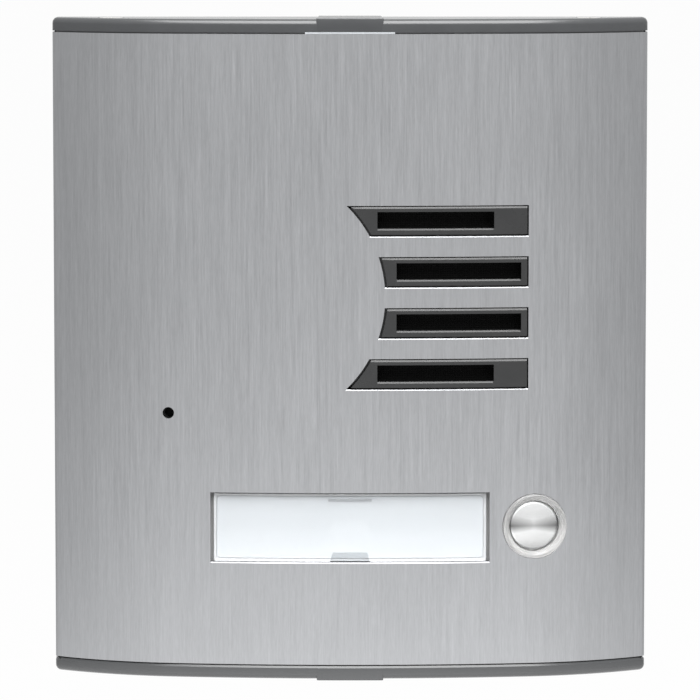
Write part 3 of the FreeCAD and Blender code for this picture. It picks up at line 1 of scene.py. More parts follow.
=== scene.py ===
# %% [markdown]
# # A door-entry intercom panel
#
# This lesson dresses the outdoor panel of a door-entry intercom: a bowed, brushed aluminium extrusion
# between two moulded end caps, with a slotted grille, a name window and a chromed call button.
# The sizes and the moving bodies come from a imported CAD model, which is loaded first and never changed.
# Each new piece takes the place of one CAD node and rides on that node's body.

# %% Load the frame
import json
import math

import bmesh
import bpy
from mathutils import Matrix, Vector

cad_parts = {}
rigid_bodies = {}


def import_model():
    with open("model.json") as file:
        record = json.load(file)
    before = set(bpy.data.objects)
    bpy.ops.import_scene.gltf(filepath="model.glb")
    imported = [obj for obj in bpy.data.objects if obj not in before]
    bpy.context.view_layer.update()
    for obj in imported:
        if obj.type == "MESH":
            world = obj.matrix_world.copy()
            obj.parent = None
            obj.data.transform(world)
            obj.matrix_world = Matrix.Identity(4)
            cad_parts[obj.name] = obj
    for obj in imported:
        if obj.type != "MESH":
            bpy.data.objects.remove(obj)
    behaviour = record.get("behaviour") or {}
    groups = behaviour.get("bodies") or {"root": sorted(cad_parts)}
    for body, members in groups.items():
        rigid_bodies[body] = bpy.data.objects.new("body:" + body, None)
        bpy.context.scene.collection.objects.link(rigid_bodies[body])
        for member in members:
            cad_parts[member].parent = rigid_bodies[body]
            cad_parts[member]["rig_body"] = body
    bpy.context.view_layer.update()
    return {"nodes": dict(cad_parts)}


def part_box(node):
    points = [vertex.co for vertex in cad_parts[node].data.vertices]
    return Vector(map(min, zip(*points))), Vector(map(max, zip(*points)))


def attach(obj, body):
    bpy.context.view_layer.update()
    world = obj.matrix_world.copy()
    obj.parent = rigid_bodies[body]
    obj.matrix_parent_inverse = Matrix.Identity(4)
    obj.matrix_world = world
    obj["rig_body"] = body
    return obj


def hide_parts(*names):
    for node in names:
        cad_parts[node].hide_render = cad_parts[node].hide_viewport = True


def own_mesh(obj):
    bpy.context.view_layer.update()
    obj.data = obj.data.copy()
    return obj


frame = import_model()

# %% [markdown]
# ## Working in millimetres
#
# Blender's unit is the metre, but a maker thinks of a panel like this in millimetres. The helpers below
# take millimetres, so the numbers in the lesson read like a drawing. X runs to the right, Y away from
# the viewer into the wall, and Z upwards. The wall plane is Y = 0. Places closer than `NEAR` count as one.

# %% Starting a piece
MM = 0.001
NEAR = 0.01


def mm(x, y, z):
    """A place or a move given in millimetres."""
    return Vector((x, y, z)) * MM


def moved(x, y, z):
    """A move in millimetres, as a matrix."""
    return Matrix.Translation(mm(x, y, z))


def turned(angle, axis="Y"):
    """A turn in degrees about an axis through the origin, as a matrix."""
    return Matrix.Rotation(math.radians(angle), 4, axis)


def alone(piece):
    """Makes one piece the only selected object."""
    bpy.ops.object.select_all(action="DESELECT")
    piece.select_set(True)
    bpy.context.view_layer.objects.active = piece
    return piece


def settle(piece):
    """Moves the piece's place, turn and scale into its mesh."""
    alone(piece)
    bpy.ops.object.transform_apply(location=True, rotation=True, scale=True)
    return piece


def added(name):
    """The primitive that was just added, under its own name."""
    piece = bpy.context.object
    piece.name = piece.data.name = name
    return piece


def block(name, low, high):
    """A box between two corners, as the start of a piece."""
    low, high = mm(*low), mm(*high)
    bpy.ops.mesh.primitive_cube_add(size=1, location=(low + high) / 2)
    piece = added(name)
    piece.scale = high - low
    return settle(piece)


def disc_bar(name, middle, radius, low, high, sides, axis="Y"):
    """A round bar along Y or Z, from low to high on it, as the start of a piece or as a drill."""
    centre = list(middle)
    centre["XYZ".index(axis)] = (low + high) / 2
    turn = (math.pi / 2 if axis == "Y" else 0, 0, 0)
    bpy.ops.mesh.primitive_cylinder_add(vertices=sides, radius=radius * MM, depth=(high - low) * MM,
                                        location=mm(*centre), rotation=turn)
    return settle(added(name))


print("helpers ready: block, disc_bar")

# %% [markdown]
# ## Picking by place
#
# Working by hand, you click on a face or an edge. In a script you describe it: the edges at the far
# right, the faces that look forward. `pick` selects whatever passes a test on its middle and its normal.

# %% Edit-mode helpers
def open_mesh(piece):
    """Enters edit mode with nothing selected."""
    alone(piece)
    bpy.ops.object.mode_set(mode="EDIT")
    bpy.ops.mesh.select_all(action="DESELECT")


def close_mesh():
    bpy.ops.object.mode_set(mode="OBJECT")


def pick(piece, kind, test):
    """In edit mode, selects the vertices, edges or faces that pass test(middle in mm, normal)."""
    bpy.ops.mesh.select_all(action="DESELECT")
    bpy.ops.mesh.select_mode(type=kind)
    mesh = bmesh.from_edit_mesh(piece.data)
    for item in {"VERT": mesh.verts, "EDGE": mesh.edges, "FACE": mesh.faces}[kind]:
        if kind == "VERT":
            middle, normal = item.co, item.normal
        elif kind == "EDGE":
            one, other = (vertex.co for vertex in item.verts)
            middle, normal = (one + other) / 2, (other - one).normalized()
        else:
            middle, normal = item.calc_center_median(), item.normal
        if test(middle / MM, normal):
            item.select_set(True)
    mesh.select_flush_mode()
    bmesh.update_edit_mesh(piece.data)


def everything():
    """In edit mode, selects the whole mesh."""
    bpy.ops.mesh.select_all(action="SELECT")


def round_edges(piece, width, segments, test):
    """Rounds the edges that pass a test. One segment makes a chamfer."""
    open_mesh(piece)
    pick(piece, "EDGE", test)
    bpy.ops.mesh.bevel(offset=width * MM, segments=segments)
    close_mesh()


def push(x, y, z):
    """Extrudes what is selected by a move in millimetres."""
    bpy.ops.mesh.extrude_region_move(TRANSFORM_OT_translate={"value": mm(x, y, z)})


def spin(angle, centre, steps, axis=(0, 0, 1)):
    """Spins what is selected about an axis through centre, by an angle in degrees, anticlockwise."""
    bpy.ops.mesh.spin(steps=steps, angle=-math.radians(angle), center=mm(*centre), axis=axis)


def swing(angle, centre):
    """Turns what is selected about an upright axis through centre, in degrees, anticlockwise."""
    bpy.ops.transform.rotate(value=-math.radians(angle), orient_axis="Z", center_override=mm(*centre))


def tidy_mesh(outward=True):
    """Merges doubles and points the faces outwards."""
    everything()
    bpy.ops.mesh.remove_doubles(threshold=0.004 * MM)
    if outward:
        bpy.ops.mesh.normals_make_consistent(inside=False)


def line(name, *corners):
    """A chain of straight edges through the corners, drawn from one vertex by extruding it."""
    bpy.ops.mesh.primitive_plane_add(size=MM)
    piece = added(name)
    bpy.ops.object.mode_set(mode="EDIT")
    bpy.ops.mesh.merge(type="CENTER")
    bpy.ops.mesh.select_mode(type="VERT")
    everything()
    bpy.ops.transform.translate(value=mm(*corners[0]))
    for here, there in zip(corners, corners[1:]):
        push(*(there[i] - here[i] for i in range(3)))
    return piece


print("helpers ready: pick, round_edges, push, spin, swing, line")

# %% [markdown]
# ## Modifiers, cutting and joining
#
# A modifier is a recipe that stays open until it is applied. Here each one is applied at once, so a
# finished piece is plain mesh. A hole is made as a machinist makes it: with a cutter of the hole's shape.

# %% Finishing helpers
def modify(piece, kind, **settings):
    """Adds a modifier with its settings and applies it."""
    step = piece.modifiers.new(kind.title(), kind)
    for setting, value in settings.items():
        setattr(step, setting, value)
    alone(piece)
    bpy.ops.object.modifier_apply(modifier=step.name)
    return piece


def join(piece, *others):
    """Joins other pieces' meshes into the first."""
    alone(piece)
    for other in others:
        other.select_set(True)
    bpy.ops.object.join()
    return piece


def cut(piece, *cutters, operation="DIFFERENCE"):
    """Cuts the piece by each cutter in turn, or joins or crosses them, and puts the cutters away."""
    for cutter in cutters:
        modify(piece, "BOOLEAN", object=cutter, operation=operation, solver="EXACT")
        bpy.data.objects.remove(cutter)
    return piece


def soften(piece, width, segments=2, angle=30):
    """Rounds every edge that is sharper than an angle."""
    return modify(piece, "BEVEL", width=width * MM, segments=segments, limit_method="ANGLE",
                  angle_limit=math.radians(angle), use_clamp_overlap=True, miter_outer="MITER_ARC")


def smooth(piece, angle=32):
    """Shades the piece smooth, with a crease wherever two faces meet at more than an angle."""
    alone(piece)
    bpy.ops.object.shade_smooth_by_angle(angle=math.radians(angle))
    return piece


def twin(piece):
    """A copy of the piece with its own mesh."""
    other = piece.copy()
    other.data = piece.data.copy()
    bpy.context.scene.collection.objects.link(other)
    return other


def copies(piece, moves):
    """Copies of a piece at each move, joined into one."""
    others = [twin(piece) for move in moves]
    for other, move in zip(others, moves):
        other.data.transform(move)
    bpy.data.objects.remove(piece)
    return join(*others)


pieces = {}


def fit(piece, node):
    """Rides the finished piece on the body of the CAD node that it replaces, under that node's name."""
    piece.name = piece.data.name = node + "_piece"
    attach(piece, frame["nodes"][node]["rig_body"])
    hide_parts(node)
    pieces[node] = piece
    low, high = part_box(node)
    print(f"{piece.name}: {len(piece.data.polygons)} faces, CAD width {(high.x - low.x) / MM:.2f} mm")


# %% [markdown]
# ## Turned parts
#
# Rings, discs, screws and cans are turned parts. On a lathe, and in Blender, such a part is a profile
# spun once round its axis. A profile is drawn at the origin as (radius, depth) corners, and the
# finished piece is carried to its place afterwards.

# %% Lathe, screw places and screw holes
SCREW_PLAY = 0.12
FACING = {"up": -90, "down": 90, "back": 180}


def lathe(name, *profile, steps=96, closed=True):
    """A turned piece about the Y axis, from its profile of (radius, depth) corners."""
    piece = line(name, *((radius, depth, 0) for radius, depth in profile))
    if closed:
        push(profile[0][0] - profile[-1][0], profile[0][1] - profile[-1][1], 0)
    everything()
    spin(360, (0, 0, 0), steps, axis=(0, 1, 0))
    tidy_mesh()
    close_mesh()
    return piece


def arc(centre, radius, start, finish, count):
    """Corners along an arc, in degrees from the radial direction towards greater depth."""
    angles = [math.radians(start + (finish - start) * i / count) for i in range(count + 1)]
    return [(centre[0] + radius * math.cos(angle), centre[1] + radius * math.sin(angle)) for angle in angles]


def placed(at, turn, facing):
    """The move that carries a screw to a place, its head facing a direction and its cross turned."""
    return moved(*at) @ turned(FACING[facing], "X") @ turned(turn)


def screw_hole(head, bore, length, place):
    """The cutter of a countersunk screw's hole, at the screw's own place."""
    wide = head + SCREW_PLAY
    cutter = lathe("screw_hole", (0, -1), (wide, -1), (wide, 0.05), (bore, wide - bore + 0.05),
                   (bore, length), (0, length), steps=40, closed=False)
    cutter.data.transform(place)
    return cutter


print("helpers ready: lathe, arc, placed, screw_hole")

# %% [markdown]
# ## The bow
#
# Every front piece follows one curve: a shallow arc across the middle, and a tighter arc to each side.
# On the real extrusion this is the die's shape. Spinning a section about each arc's centre draws the
# same curve, so panel, caps, grille, lens and card all nest without any fitting.

# %% The bow's sizes
BOW_RADIUS = 268.0
BOW_AXIS = (0.0, 252.0, 0.0)
CROWN = BOW_AXIS[1] - BOW_RADIUS
CROWN_HALF = 37.5
SHOULDER_RADIUS = 59.993
SHOULDER_AXIS = (29.106, 46.039, 0.0)
HALF_WIDTH = 62.5
SIDE_FRONT = -3.8
BACK = -0.8
SKIN = 1.8
PANEL_TOP = 66.2
CROWN_ANGLE = math.degrees(math.asin(CROWN_HALF / BOW_RADIUS))
SHOULDER_ANGLE = math.degrees(math.asin((HALF_WIDTH - SHOULDER_AXIS[0]) / SHOULDER_RADIUS)) - CROWN_ANGLE


def bow_y(x):
    """The skin's front face at x."""
    if abs(x) <= CROWN_HALF:
        return BOW_AXIS[1] - math.sqrt(BOW_RADIUS**2 - x**2)
    return SHOULDER_AXIS[1] - math.sqrt(SHOULDER_RADIUS**2 - (abs(x) - SHOULDER_AXIS[0]) ** 2)


def half_bow(piece, kind):
    """Spins what is drawn across the crown and the right shoulder, then pulls it back along the side."""
    def pick_last(x):
        pick(piece, kind, lambda at, way: at.x > x - NEAR and (kind == "VERT" or abs(way.z) > 0.9))

    everything()
    spin(CROWN_ANGLE, BOW_AXIS, 20)
    pick_last(CROWN_HALF)
    spin(SHOULDER_ANGLE, SHOULDER_AXIS, 22)
    pick_last(HALF_WIDTH)
    push(0, BACK - SIDE_FRONT, 0)


def bow_sweep(name, left, right, *section, steps=24):
    """A bowed bar from left to right. Its section is (depth behind the skin's front face, height)."""
    start, finish = (math.degrees(math.asin(x / (BOW_RADIUS - section[0][0]))) for x in (left, right))
    piece = line(name, *((0, CROWN + depth, height) for depth, height in section))
    everything()
    bpy.ops.mesh.edge_face_add()
    swing(start, BOW_AXIS)
    spin(finish - start, BOW_AXIS, steps)
    tidy_mesh()
    close_mesh()
    return piece


def bow_slab(name, left, right, low, high, front, back, steps=24):
    """A bowed bar with a plain rectangular section."""
    return bow_sweep(name, left, right, (front, low), (front, high), (back, high), (back, low), steps=steps)


def sill_cutter(left, right, foot, height, depth, front=0.0):
    """The cutter that chamfers the lower front edge of an opening whose foot is at one height."""
    return bow_sweep("sill", left, right, (front - depth, foot - 2 * height),
                     (front - depth, foot + height), (front + 2 * depth, foot + height))


print(f"crown {CROWN_ANGLE:.2f} degrees, shoulder {SHOULDER_ANGLE:.2f} degrees")

# %% [markdown]
# ## The front panel
#
# The panel is one length of aluminium extrusion. Its outer surface is drawn as a sheet: a single upright
# edge is spun across the crown, spun on across the shoulder, and pulled straight back for the side
# wall. A mirror makes the other half, and Solidify gives the sheet its wall, inwards only, so that the
# outside stays on the CAD's surface.

# %% Sheet, side walls and thickness
EDGE_ROUND = 1.3
CORNER_TURN = 90 - CROWN_ANGLE - SHOULDER_ANGLE
CORNER_REACH = EDGE_ROUND * math.tan(math.radians(CORNER_TURN / 2)) * MM


def at_corner(at):
    """True where the shoulder turns into the side wall."""
    return at.x > HALF_WIDTH - NEAR and at.y < SIDE_FRONT + NEAR


skin = line("front_panel", (0, CROWN, -PANEL_TOP), (0, CROWN, PANEL_TOP))
half_bow(skin, "EDGE")
pick(skin, "EDGE", lambda at, way: abs(way.z) > 0.9 and at_corner(at))
bpy.ops.mesh.bevel(offset=CORNER_REACH, segments=8)
close_mesh()
modify(skin, "MIRROR", merge_threshold=NEAR * MM)
open_mesh(skin)
tidy_mesh()
pick(skin, "FACE", lambda at, way: way.y > 0)
flipped = skin.data.total_face_sel > len(skin.data.polygons) / 2
everything()
if flipped:
    bpy.ops.mesh.flip_normals()
close_mesh()
modify(skin, "SOLIDIFY", thickness=SKIN * MM, offset=-1, use_even_offset=True)
print(f"front panel blank: {len(skin.data.polygons)} faces")

# %% [markdown]
# ## Holes in the panel
#
# The grille's four bars come through four holes of their own, whose left ends lie on one concave arc.
# `bar_shape` makes an upright block with that arc cut from its end. It serves twice: a little larger as
# the cutter for the panel, and at size for the bars themselves. The edges are then rounded by little
# more than a tenth of a millimetre, which is what catches the light along a milled edge.

# %% Bar, window, button and microphone holes
GRILLE_Z = 11.3
BAR_PITCH = 10.7
BAR_HEIGHT = 5.8
BAR_RIGHT = 37.05
BAR_GAP = 0.3
GAP_BELOW, GAP_ABOVE, GAP_LEFT = 1.27, 0.73, 1.6
ARC_RADIUS = 27.32
ARC_X = -19.5
BAR_MIDDLES = [GRILLE_Z + BAR_PITCH * (row - 1.5) for row in (3, 2, 1, 0)]
WINDOW = (29.3, -44.55, -29.85)
BUTTON_X = 38.84
BUTTON_Z = -37.2
BUTTON_TILT = math.degrees(math.asin((BUTTON_X - SHOULDER_AXIS[0]) / SHOULDER_RADIUS))
BUTTON = (BUTTON_X, bow_y(BUTTON_X), BUTTON_Z)
MICROPHONE = (-38.1, 0, -13.2)
SILL = (0.22, 0.1)
CUT_FRONT, CUT_BACK = -20, -8
CORNER_PLAY = 0.03


def bar_shape(name, middle, gap):
    """An upright block with the concave left end of the bar at one height."""
    foot, top = middle - BAR_HEIGHT / 2 - gap * GAP_BELOW, middle + BAR_HEIGHT / 2 + gap * GAP_ABOVE
    piece = block(name, (-15, CUT_FRONT, foot), (BAR_RIGHT + gap, CUT_BACK, top))
    return cut(piece, disc_bar("arc", (ARC_X, 0, GRILLE_Z), ARC_RADIUS - gap * GAP_LEFT, CUT_FRONT - 5,
                               CUT_BACK + 5, 256))


def on_button(piece):
    """Carries a piece made round the Y axis to the button's place, square to the bow there."""
    piece.data.transform(moved(*BUTTON) @ turned(BUTTON_TILT, "Z"))
    return piece


cutters = [bar_shape("bar_hole", middle, BAR_GAP) for middle in BAR_MIDDLES]
cutters.append(block("window_hole", (-WINDOW[0], CUT_FRONT, WINDOW[1]), (WINDOW[0], CUT_BACK, WINDOW[2])))
cutters.append(disc_bar("microphone_hole", MICROPHONE, 1.2, CUT_FRONT, CUT_BACK, 40))
for middle in BAR_MIDDLES:
    foot = middle - BAR_HEIGHT / 2 - BAR_GAP * GAP_BELOW
    left = ARC_X + math.sqrt((ARC_RADIUS - BAR_GAP * GAP_LEFT) ** 2 - (foot - GRILLE_Z) ** 2)
    cutters.append(sill_cutter(left + CORNER_PLAY, BAR_RIGHT + BAR_GAP - CORNER_PLAY, foot, *SILL))
cutters.append(sill_cutter(-WINDOW[0] + CORNER_PLAY, WINDOW[0] - CORNER_PLAY, WINDOW[1], *SILL))
cutters.append(on_button(disc_bar("button_hole", (0, 0, 0), 6.9, -4, 5, 96)))
cut(skin, *cutters)
soften(skin, 0.14, segments=5)
print(f"panel with {len(cutters)} cuts: {len(skin.data.polygons)} faces")

# %% [markdown]
# ## Rails and screw ports
#
# Inside, each side wall has a rail that the chassis plate slides behind, and a tube near each side
# takes the caps' screws at both its ends. They are part of the same extrusion, so they are joined into
# the same mesh.

# %% Rails and ports
PORT = (50.0, -6.17)
RAIL = (59.2, 61.2)
RUN = PANEL_TOP - 0.1
for side in (-1, 1):
    x = side * PORT[0]
    left, right = sorted(side * edge for edge in RAIL)
    rail = block("rail", (left, BACK - 1.0, -RUN), (right, BACK - NEAR, RUN))
    port = disc_bar("port", (x, PORT[1], 0), 2.5, -RUN, RUN, 32, axis="Z")
    cut(port, disc_bar("bore", (x, PORT[1], 0), 1.3, -PANEL_TOP - 1, PANEL_TOP + 1, 24, axis="Z"))
    web = block("web", (x - 1.2, bow_y(x) + 1.0, -RUN), (x + 1.2, PORT[1] - 2.2, RUN))
    join(skin, soften(rail, 0.2), port, web)
fit(smooth(skin, 8.5), "front_panel")

# %% [markdown]
# ## The end caps
#
# Each cap is a moulded slab with the panel's outline. The outline is drawn as a wire with the same two
# spins, mirrored, filled and pulled up. The outer rim is then rounded, and a squared pad stands in its
# middle where a printed name would go. This panel's pad is left bare. The underside is inset and pushed
# down, so the cap stands on a narrow land and a dark shadow line shows all round the joint.

# %% One cap, then its mirror
CAP_TOP = 69.3
PAD_HALF = 7.0
PAD_TOP = 69.55
RIM = 1.2
SHADOW_GAP, LAND_INSET = 0.3, 0.9
JOINT = PANEL_TOP + SHADOW_GAP

cap = line("top_cap", (0, CROWN, JOINT))
half_bow(cap, "VERT")
push(-HALF_WIDTH, 0, 0)
pick(cap, "VERT", lambda at, way: at_corner(at))
bpy.ops.mesh.bevel(offset=CORNER_REACH, segments=6, affect="VERTICES")
close_mesh()
modify(cap, "MIRROR", merge_threshold=NEAR * MM)
open_mesh(cap)
tidy_mesh(outward=False)
everything()
bpy.ops.mesh.edge_face_add()
push(0, 0, CAP_TOP - JOINT)
tidy_mesh()
pick(cap, "EDGE", lambda at, way: at.z > CAP_TOP - NEAR and abs(way.z) < 0.1 and at.y < BACK - NEAR)
bpy.ops.mesh.bevel(offset=RIM * MM, segments=8)
pick(cap, "FACE", lambda at, way: way.z < -0.9)
bpy.ops.mesh.inset(thickness=LAND_INSET * MM)
push(0, 0, -SHADOW_GAP)
close_mesh()
print(f"cap: {len(cap.data.polygons)} faces")

# %% [markdown]
# ## Fitting the caps
#
# A tongue on each cap plugs into the end of the extrusion, two screws hold it, and the lower cap
# is the upper one mirrored. The upper pad has a shallow scoop across its top and a thin pale strip
# under it. The lower cap has the hole for the lock screw instead.

# %% Tongue, screw holes, scoop and strip
CAP_SCREW_HEAD = 2.6
PAD_FRONT, PAD_BACK = -0.02, 14.4
PAD_JOINT = PANEL_TOP + 0.32
TONGUE_HALF, TONGUE_FOOT, TONGUE_DEPTHS = 37.0, 62.2, (1.95, 3.35)
STRIP_HALF = 9.4
STRIP_TOP = PANEL_TOP + 0.45
STRIP_PLAY = 0.02
SCOOP_RADIUS = 65.0
LIP_HEIGHT, LIP_DEPTH = 0.42, 0.18
LOCK_Y = -5.6


def upside_down(piece):
    """A mirrored copy of a top piece, for the bottom."""
    other = twin(piece)
    other.scale.z = -1
    settle(other)
    open_mesh(other)
    tidy_mesh()
    close_mesh()
    return other


def on_rim(at):
    """True at the foot of the lower cap's joint, near its outer edge."""
    return abs(at.z + JOINT) < NEAR and (at.y < bow_y(at.x) + 0.6 or abs(at.x) > HALF_WIDTH - 0.6)


for side in (-1, 1):
    cut(cap, screw_hole(CAP_SCREW_HEAD, 1.5, 8.0, placed((side * PORT[0], PORT[1], CAP_TOP), 0, "up")))
pad = bow_slab("pad", -PAD_HALF, PAD_HALF, PAD_JOINT, PAD_TOP, PAD_FRONT, PAD_BACK, steps=8)
soften(pad, 0.22, segments=4)
tongue = bow_slab("tongue", -TONGUE_HALF, TONGUE_HALF, TONGUE_FOOT, PANEL_TOP + 0.2, *TONGUE_DEPTHS, steps=16)
soften(tongue, 0.15)
lower, lower_pad, lower_tongue = (upside_down(part) for part in (cap, pad, tongue))
open_mesh(lower)
pick(lower, "EDGE", lambda at, way: at.y < BACK - NEAR and on_rim(at))
bpy.ops.mesh.bevel(offset=LIP_HEIGHT * MM, segments=1)
pick(lower, "VERT", lambda at, way: at.y < SIDE_FRONT and on_rim(at))
bpy.ops.transform.translate(value=mm(0, -LIP_DEPTH, 0))
close_mesh()
for part in (lower, lower_pad):
    cut(part, disc_bar("lock_hole", (0, LOCK_Y, 0), 2.25, -PAD_TOP - 1, -PANEL_TOP + 8, 40, axis="Z"))
cut(lower_pad, sill_cutter(-PAD_HALF - 0.3, PAD_HALF + 0.3, -PAD_JOINT, LIP_HEIGHT, LIP_HEIGHT - LIP_DEPTH,
                           PAD_FRONT))
for part in (cap, pad):
    cut(part, bow_slab("strip_seat", -STRIP_HALF, STRIP_HALF, PANEL_TOP - 1, STRIP_TOP, -0.5, 1.0))
cut(pad, disc_bar("scoop", (0, 0, PAD_TOP + SCOOP_RADIUS - 0.35), SCOOP_RADIUS, -9.6, -8.2, 512))
join(cap, pad, tongue)
join(lower, lower_pad, lower_tongue)
fit(smooth(cap, 25), "top_cap")
fit(smooth(lower, 25), "bottom_cap")
strip = bow_slab("cap_strip", -STRIP_HALF + STRIP_PLAY, STRIP_HALF - STRIP_PLAY, PANEL_TOP + STRIP_PLAY,
                 STRIP_TOP - STRIP_PLAY, 0.0, 1.0 - STRIP_PLAY, steps=12)
smooth(soften(strip, 0.06, segments=1))
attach(strip, "panel")
pieces["cap_strip"] = strip

# %% [markdown]
# ## The grille
#
# One dark moulding fills the panel's four holes: four bars that stand just proud of the skin, a round
# flange behind them, and a collar for the loudspeaker. A bar is a bowed slab crossed with the
# same `bar_shape` that cut its hole, so a thin gap runs all round it. Its top edge and the lower edge
# of its slot are chamfered more than the rest, and show as two thin light lines.

# %% Bars, slots, flange and collar
BAR_PROUD = 0.35
BAR_CHAMFER = 0.36
SLOT_LOW, SLOT_HIGH = -1.66, 1.86
SLOT_RELIEF = 0.3
SLOT_SILL = 0.32
SLOTS = [(5.7, 30.1), (9.7, 35.8), (9.7, 35.8), (5.7, 30.1)]
SPEAKER = (18.5, 0, GRILLE_Z)
FLANGE_RADIUS = 26.0
FLANGE_FRONT, FLANGE_BACK = 2.2, 3.3
OVERLAP = 0.2

grille = bow_slab("grille", -9, 46, -16, 39, FLANGE_FRONT, FLANGE_BACK, steps=32)
cut(grille, disc_bar("rim", SPEAKER, FLANGE_RADIUS, CUT_FRONT, 0, 128), operation="INTERSECT")
for (left, right), middle in zip(SLOTS, BAR_MIDDLES):
    cut(grille, block("slot", (left - SLOT_RELIEF, CUT_FRONT, middle + SLOT_LOW - SLOT_RELIEF),
                      (right + SLOT_RELIEF, 0, middle + SLOT_HIGH + SLOT_RELIEF)))
collar = disc_bar("collar", SPEAKER, FLANGE_RADIUS - 0.05, -14, -8.58, 128)
cut(collar, disc_bar("mouth", SPEAKER, 24.6, -15, -8, 128),
    bow_slab("crown", -12, 49, -20, 44, -5, FLANGE_BACK - OVERLAP, steps=32))
join(grille, soften(collar, 0.15, segments=1))
for (left, right), middle in zip(SLOTS, BAR_MIDDLES):
    foot, top = middle - BAR_HEIGHT / 2, middle + BAR_HEIGHT / 2
    bar = bow_slab("bar", -6, 40, foot - 1, top + 1, -BAR_PROUD, FLANGE_FRONT + OVERLAP, steps=20)
    cut(bar, bar_shape("bar_outline", middle, 0), operation="INTERSECT")
    round_edges(bar, BAR_CHAMFER, 1, lambda at, way: abs(way.x) > 0.9 and abs(at.z - top) < 2 * NEAR
                and at.y < bow_y(at.x) - BAR_PROUD + 0.1)
    soften(bar, 0.07, segments=1, angle=50)
    cut(bar, block("slot", (left, CUT_FRONT, middle + SLOT_LOW), (right, 0, middle + SLOT_HIGH)),
        sill_cutter(left + 0.05, right - 0.05, middle + SLOT_LOW, SLOT_SILL, SLOT_SILL, -BAR_PROUD))
    join(grille, bar)
fit(smooth(grille, 20), "grille")

# %% [markdown]
# ## The name window
#
# The name window is a clear bowed lens, with a finger notch in its lower edge, over a plain white card.
# Both are the same slab as before. All the lens's edges are rounded, because on clear plastic it is
# the edges that draw the shape: they gather the light and the face lets it through.

# %% Lens and card
LENS = (28.6, -44.35, -30.05)
LENS_PROUD = 0.1
LENS_BACK = 1.15
NOTCH = dict(base=9.1, top=7.2, height=2.0, depth=0.7)
CARD = (27.88, -43.65, -30.75)
CARD_DEPTHS = (1.35, 1.65)


def taper(piece, is_end, across, up):
    """Narrows a cutter towards the faces that pass a test."""
    open_mesh(piece)
    pick(piece, "FACE", is_end)
    bpy.ops.transform.resize(value=(across, 1, up))
    close_mesh()


lens = bow_slab("name_lens", -LENS[0], *LENS, -LENS_PROUD, LENS_BACK, steps=32)
round_edges(lens, 0.3, 4, lambda at, way: abs(at.x) > LENS[0] - 0.4 and abs(way.y) > 0.9)
soften(lens, 0.22, segments=3)
notch = block("notch", (-NOTCH["base"] / 2, CUT_FRONT, LENS[1] - 1),
              (NOTCH["base"] / 2, CROWN - LENS_PROUD + NOTCH["depth"], LENS[1] + NOTCH["height"]))
taper(notch, lambda at, way: way.z > 0.9, NOTCH["top"] / NOTCH["base"], 1)
soften(cut(lens, notch), 0.08, segments=2, angle=50)
fit(smooth(lens, 25), "name_lens")

card = bow_slab("name_card", -CARD[0], *CARD, *CARD_DEPTHS, steps=24)
round_edges(card, 0.8, 5, lambda at, way: abs(at.x) > CARD[0] - 0.4 and abs(way.y) > 0.9)
fit(smooth(soften(card, 0.04, segments=1)), "name_card")

# %% [markdown]
# ## The call button
#
# The ring and the disc are both turned, and then carried to the bow's surface and squared to it.
# The disc is slightly domed, so it mirrors the light above and the floor below.

# %% Ring and disc
RING_BORE, RING_RADIUS, RING_FLANGE = 5.4, 6.8, 7.8
RING_SEAT, RING_BACK = 2.373, 3.373
RING_ROUND, RING_CREST = 0.42, -0.18
DISC_RADIUS, DISC_RIM, DISC_DOME = 5.1, 1.15, 0.35
DISC_ROUND, DISC_WALL, DISC_FLOOR = 0.22, 0.5, 2.0

ring = lathe("button_ring", (RING_BORE, RING_BACK), (RING_BORE, 0.25), (RING_BORE + 0.12, 0.05),
             (RING_BORE + 0.42, -0.1), *arc((6.22, RING_CREST), RING_ROUND, 190, 270, 4),
             *arc((RING_RADIUS - RING_ROUND, RING_CREST), RING_ROUND, 270, 360, 5),
             (RING_RADIUS, RING_SEAT), (RING_FLANGE, RING_SEAT), (RING_FLANGE, RING_BACK))
fit(smooth(on_button(ring), 35), "button_ring")

dome_radius = (DISC_RADIUS**2 + DISC_DOME**2) / (2 * DISC_DOME)
dome_half = math.degrees(math.asin((DISC_RADIUS - 0.2) / dome_radius))
dome = arc((0, DISC_RIM - DISC_DOME + dome_radius), dome_radius, 270, 270 + dome_half, 14)
rim = arc((DISC_RADIUS - DISC_ROUND, DISC_RIM + DISC_ROUND), DISC_ROUND, 290, 360, 4)
disc = lathe("call_button", *dome, *rim, (DISC_RADIUS, RING_BACK - 0.1),
             (DISC_RADIUS - DISC_WALL, RING_BACK - 0.1), (DISC_RADIUS - DISC_WALL, DISC_FLOOR),
             (0, DISC_FLOOR), closed=False)
fit(smooth(on_button(disc), 30), "call_button")

# %% [markdown]
# ## Screws
#
# The caps and the rear cover are held by countersunk cross-head screws. One screw is turned and its
# cross is cut, and each place gets its own copy, turned as a hand would leave it.

# %% A countersunk screw and its places
COVER_BACK = 24.0
COVER_SCREW_HEAD = 2.8
CAP_SCREW_TURNS = {("up", -1): 20, ("up", 1): 71, ("down", -1): 48, ("down", 1): 5}
COVER_SCREW_TURNS = {(-39, -44): 13, (-39, 44): 75, (39, -44): 44, (39, 44): 106}


def cross_screw(name, head, shank, length):
    """A countersunk screw with its head's face at the origin, pointing along +Y."""
    depth = head - shank
    piece = lathe(name, (0, 0), (head - 0.12, 0), (head, 0.1), (shank, depth), (shank, length - 0.8),
                  (0.1, length), (0, length), steps=40, closed=False)
    for angle in (0, 90):
        slot = block("slot", (-head * 0.62, -1, -head * 0.13), (head * 0.62, depth * 0.75, head * 0.13))
        taper(slot, lambda at, way: way.y > 0.9, 0.75, 0.7)
        slot.data.transform(turned(angle))
        cut(piece, slot)
    return smooth(piece, 30)


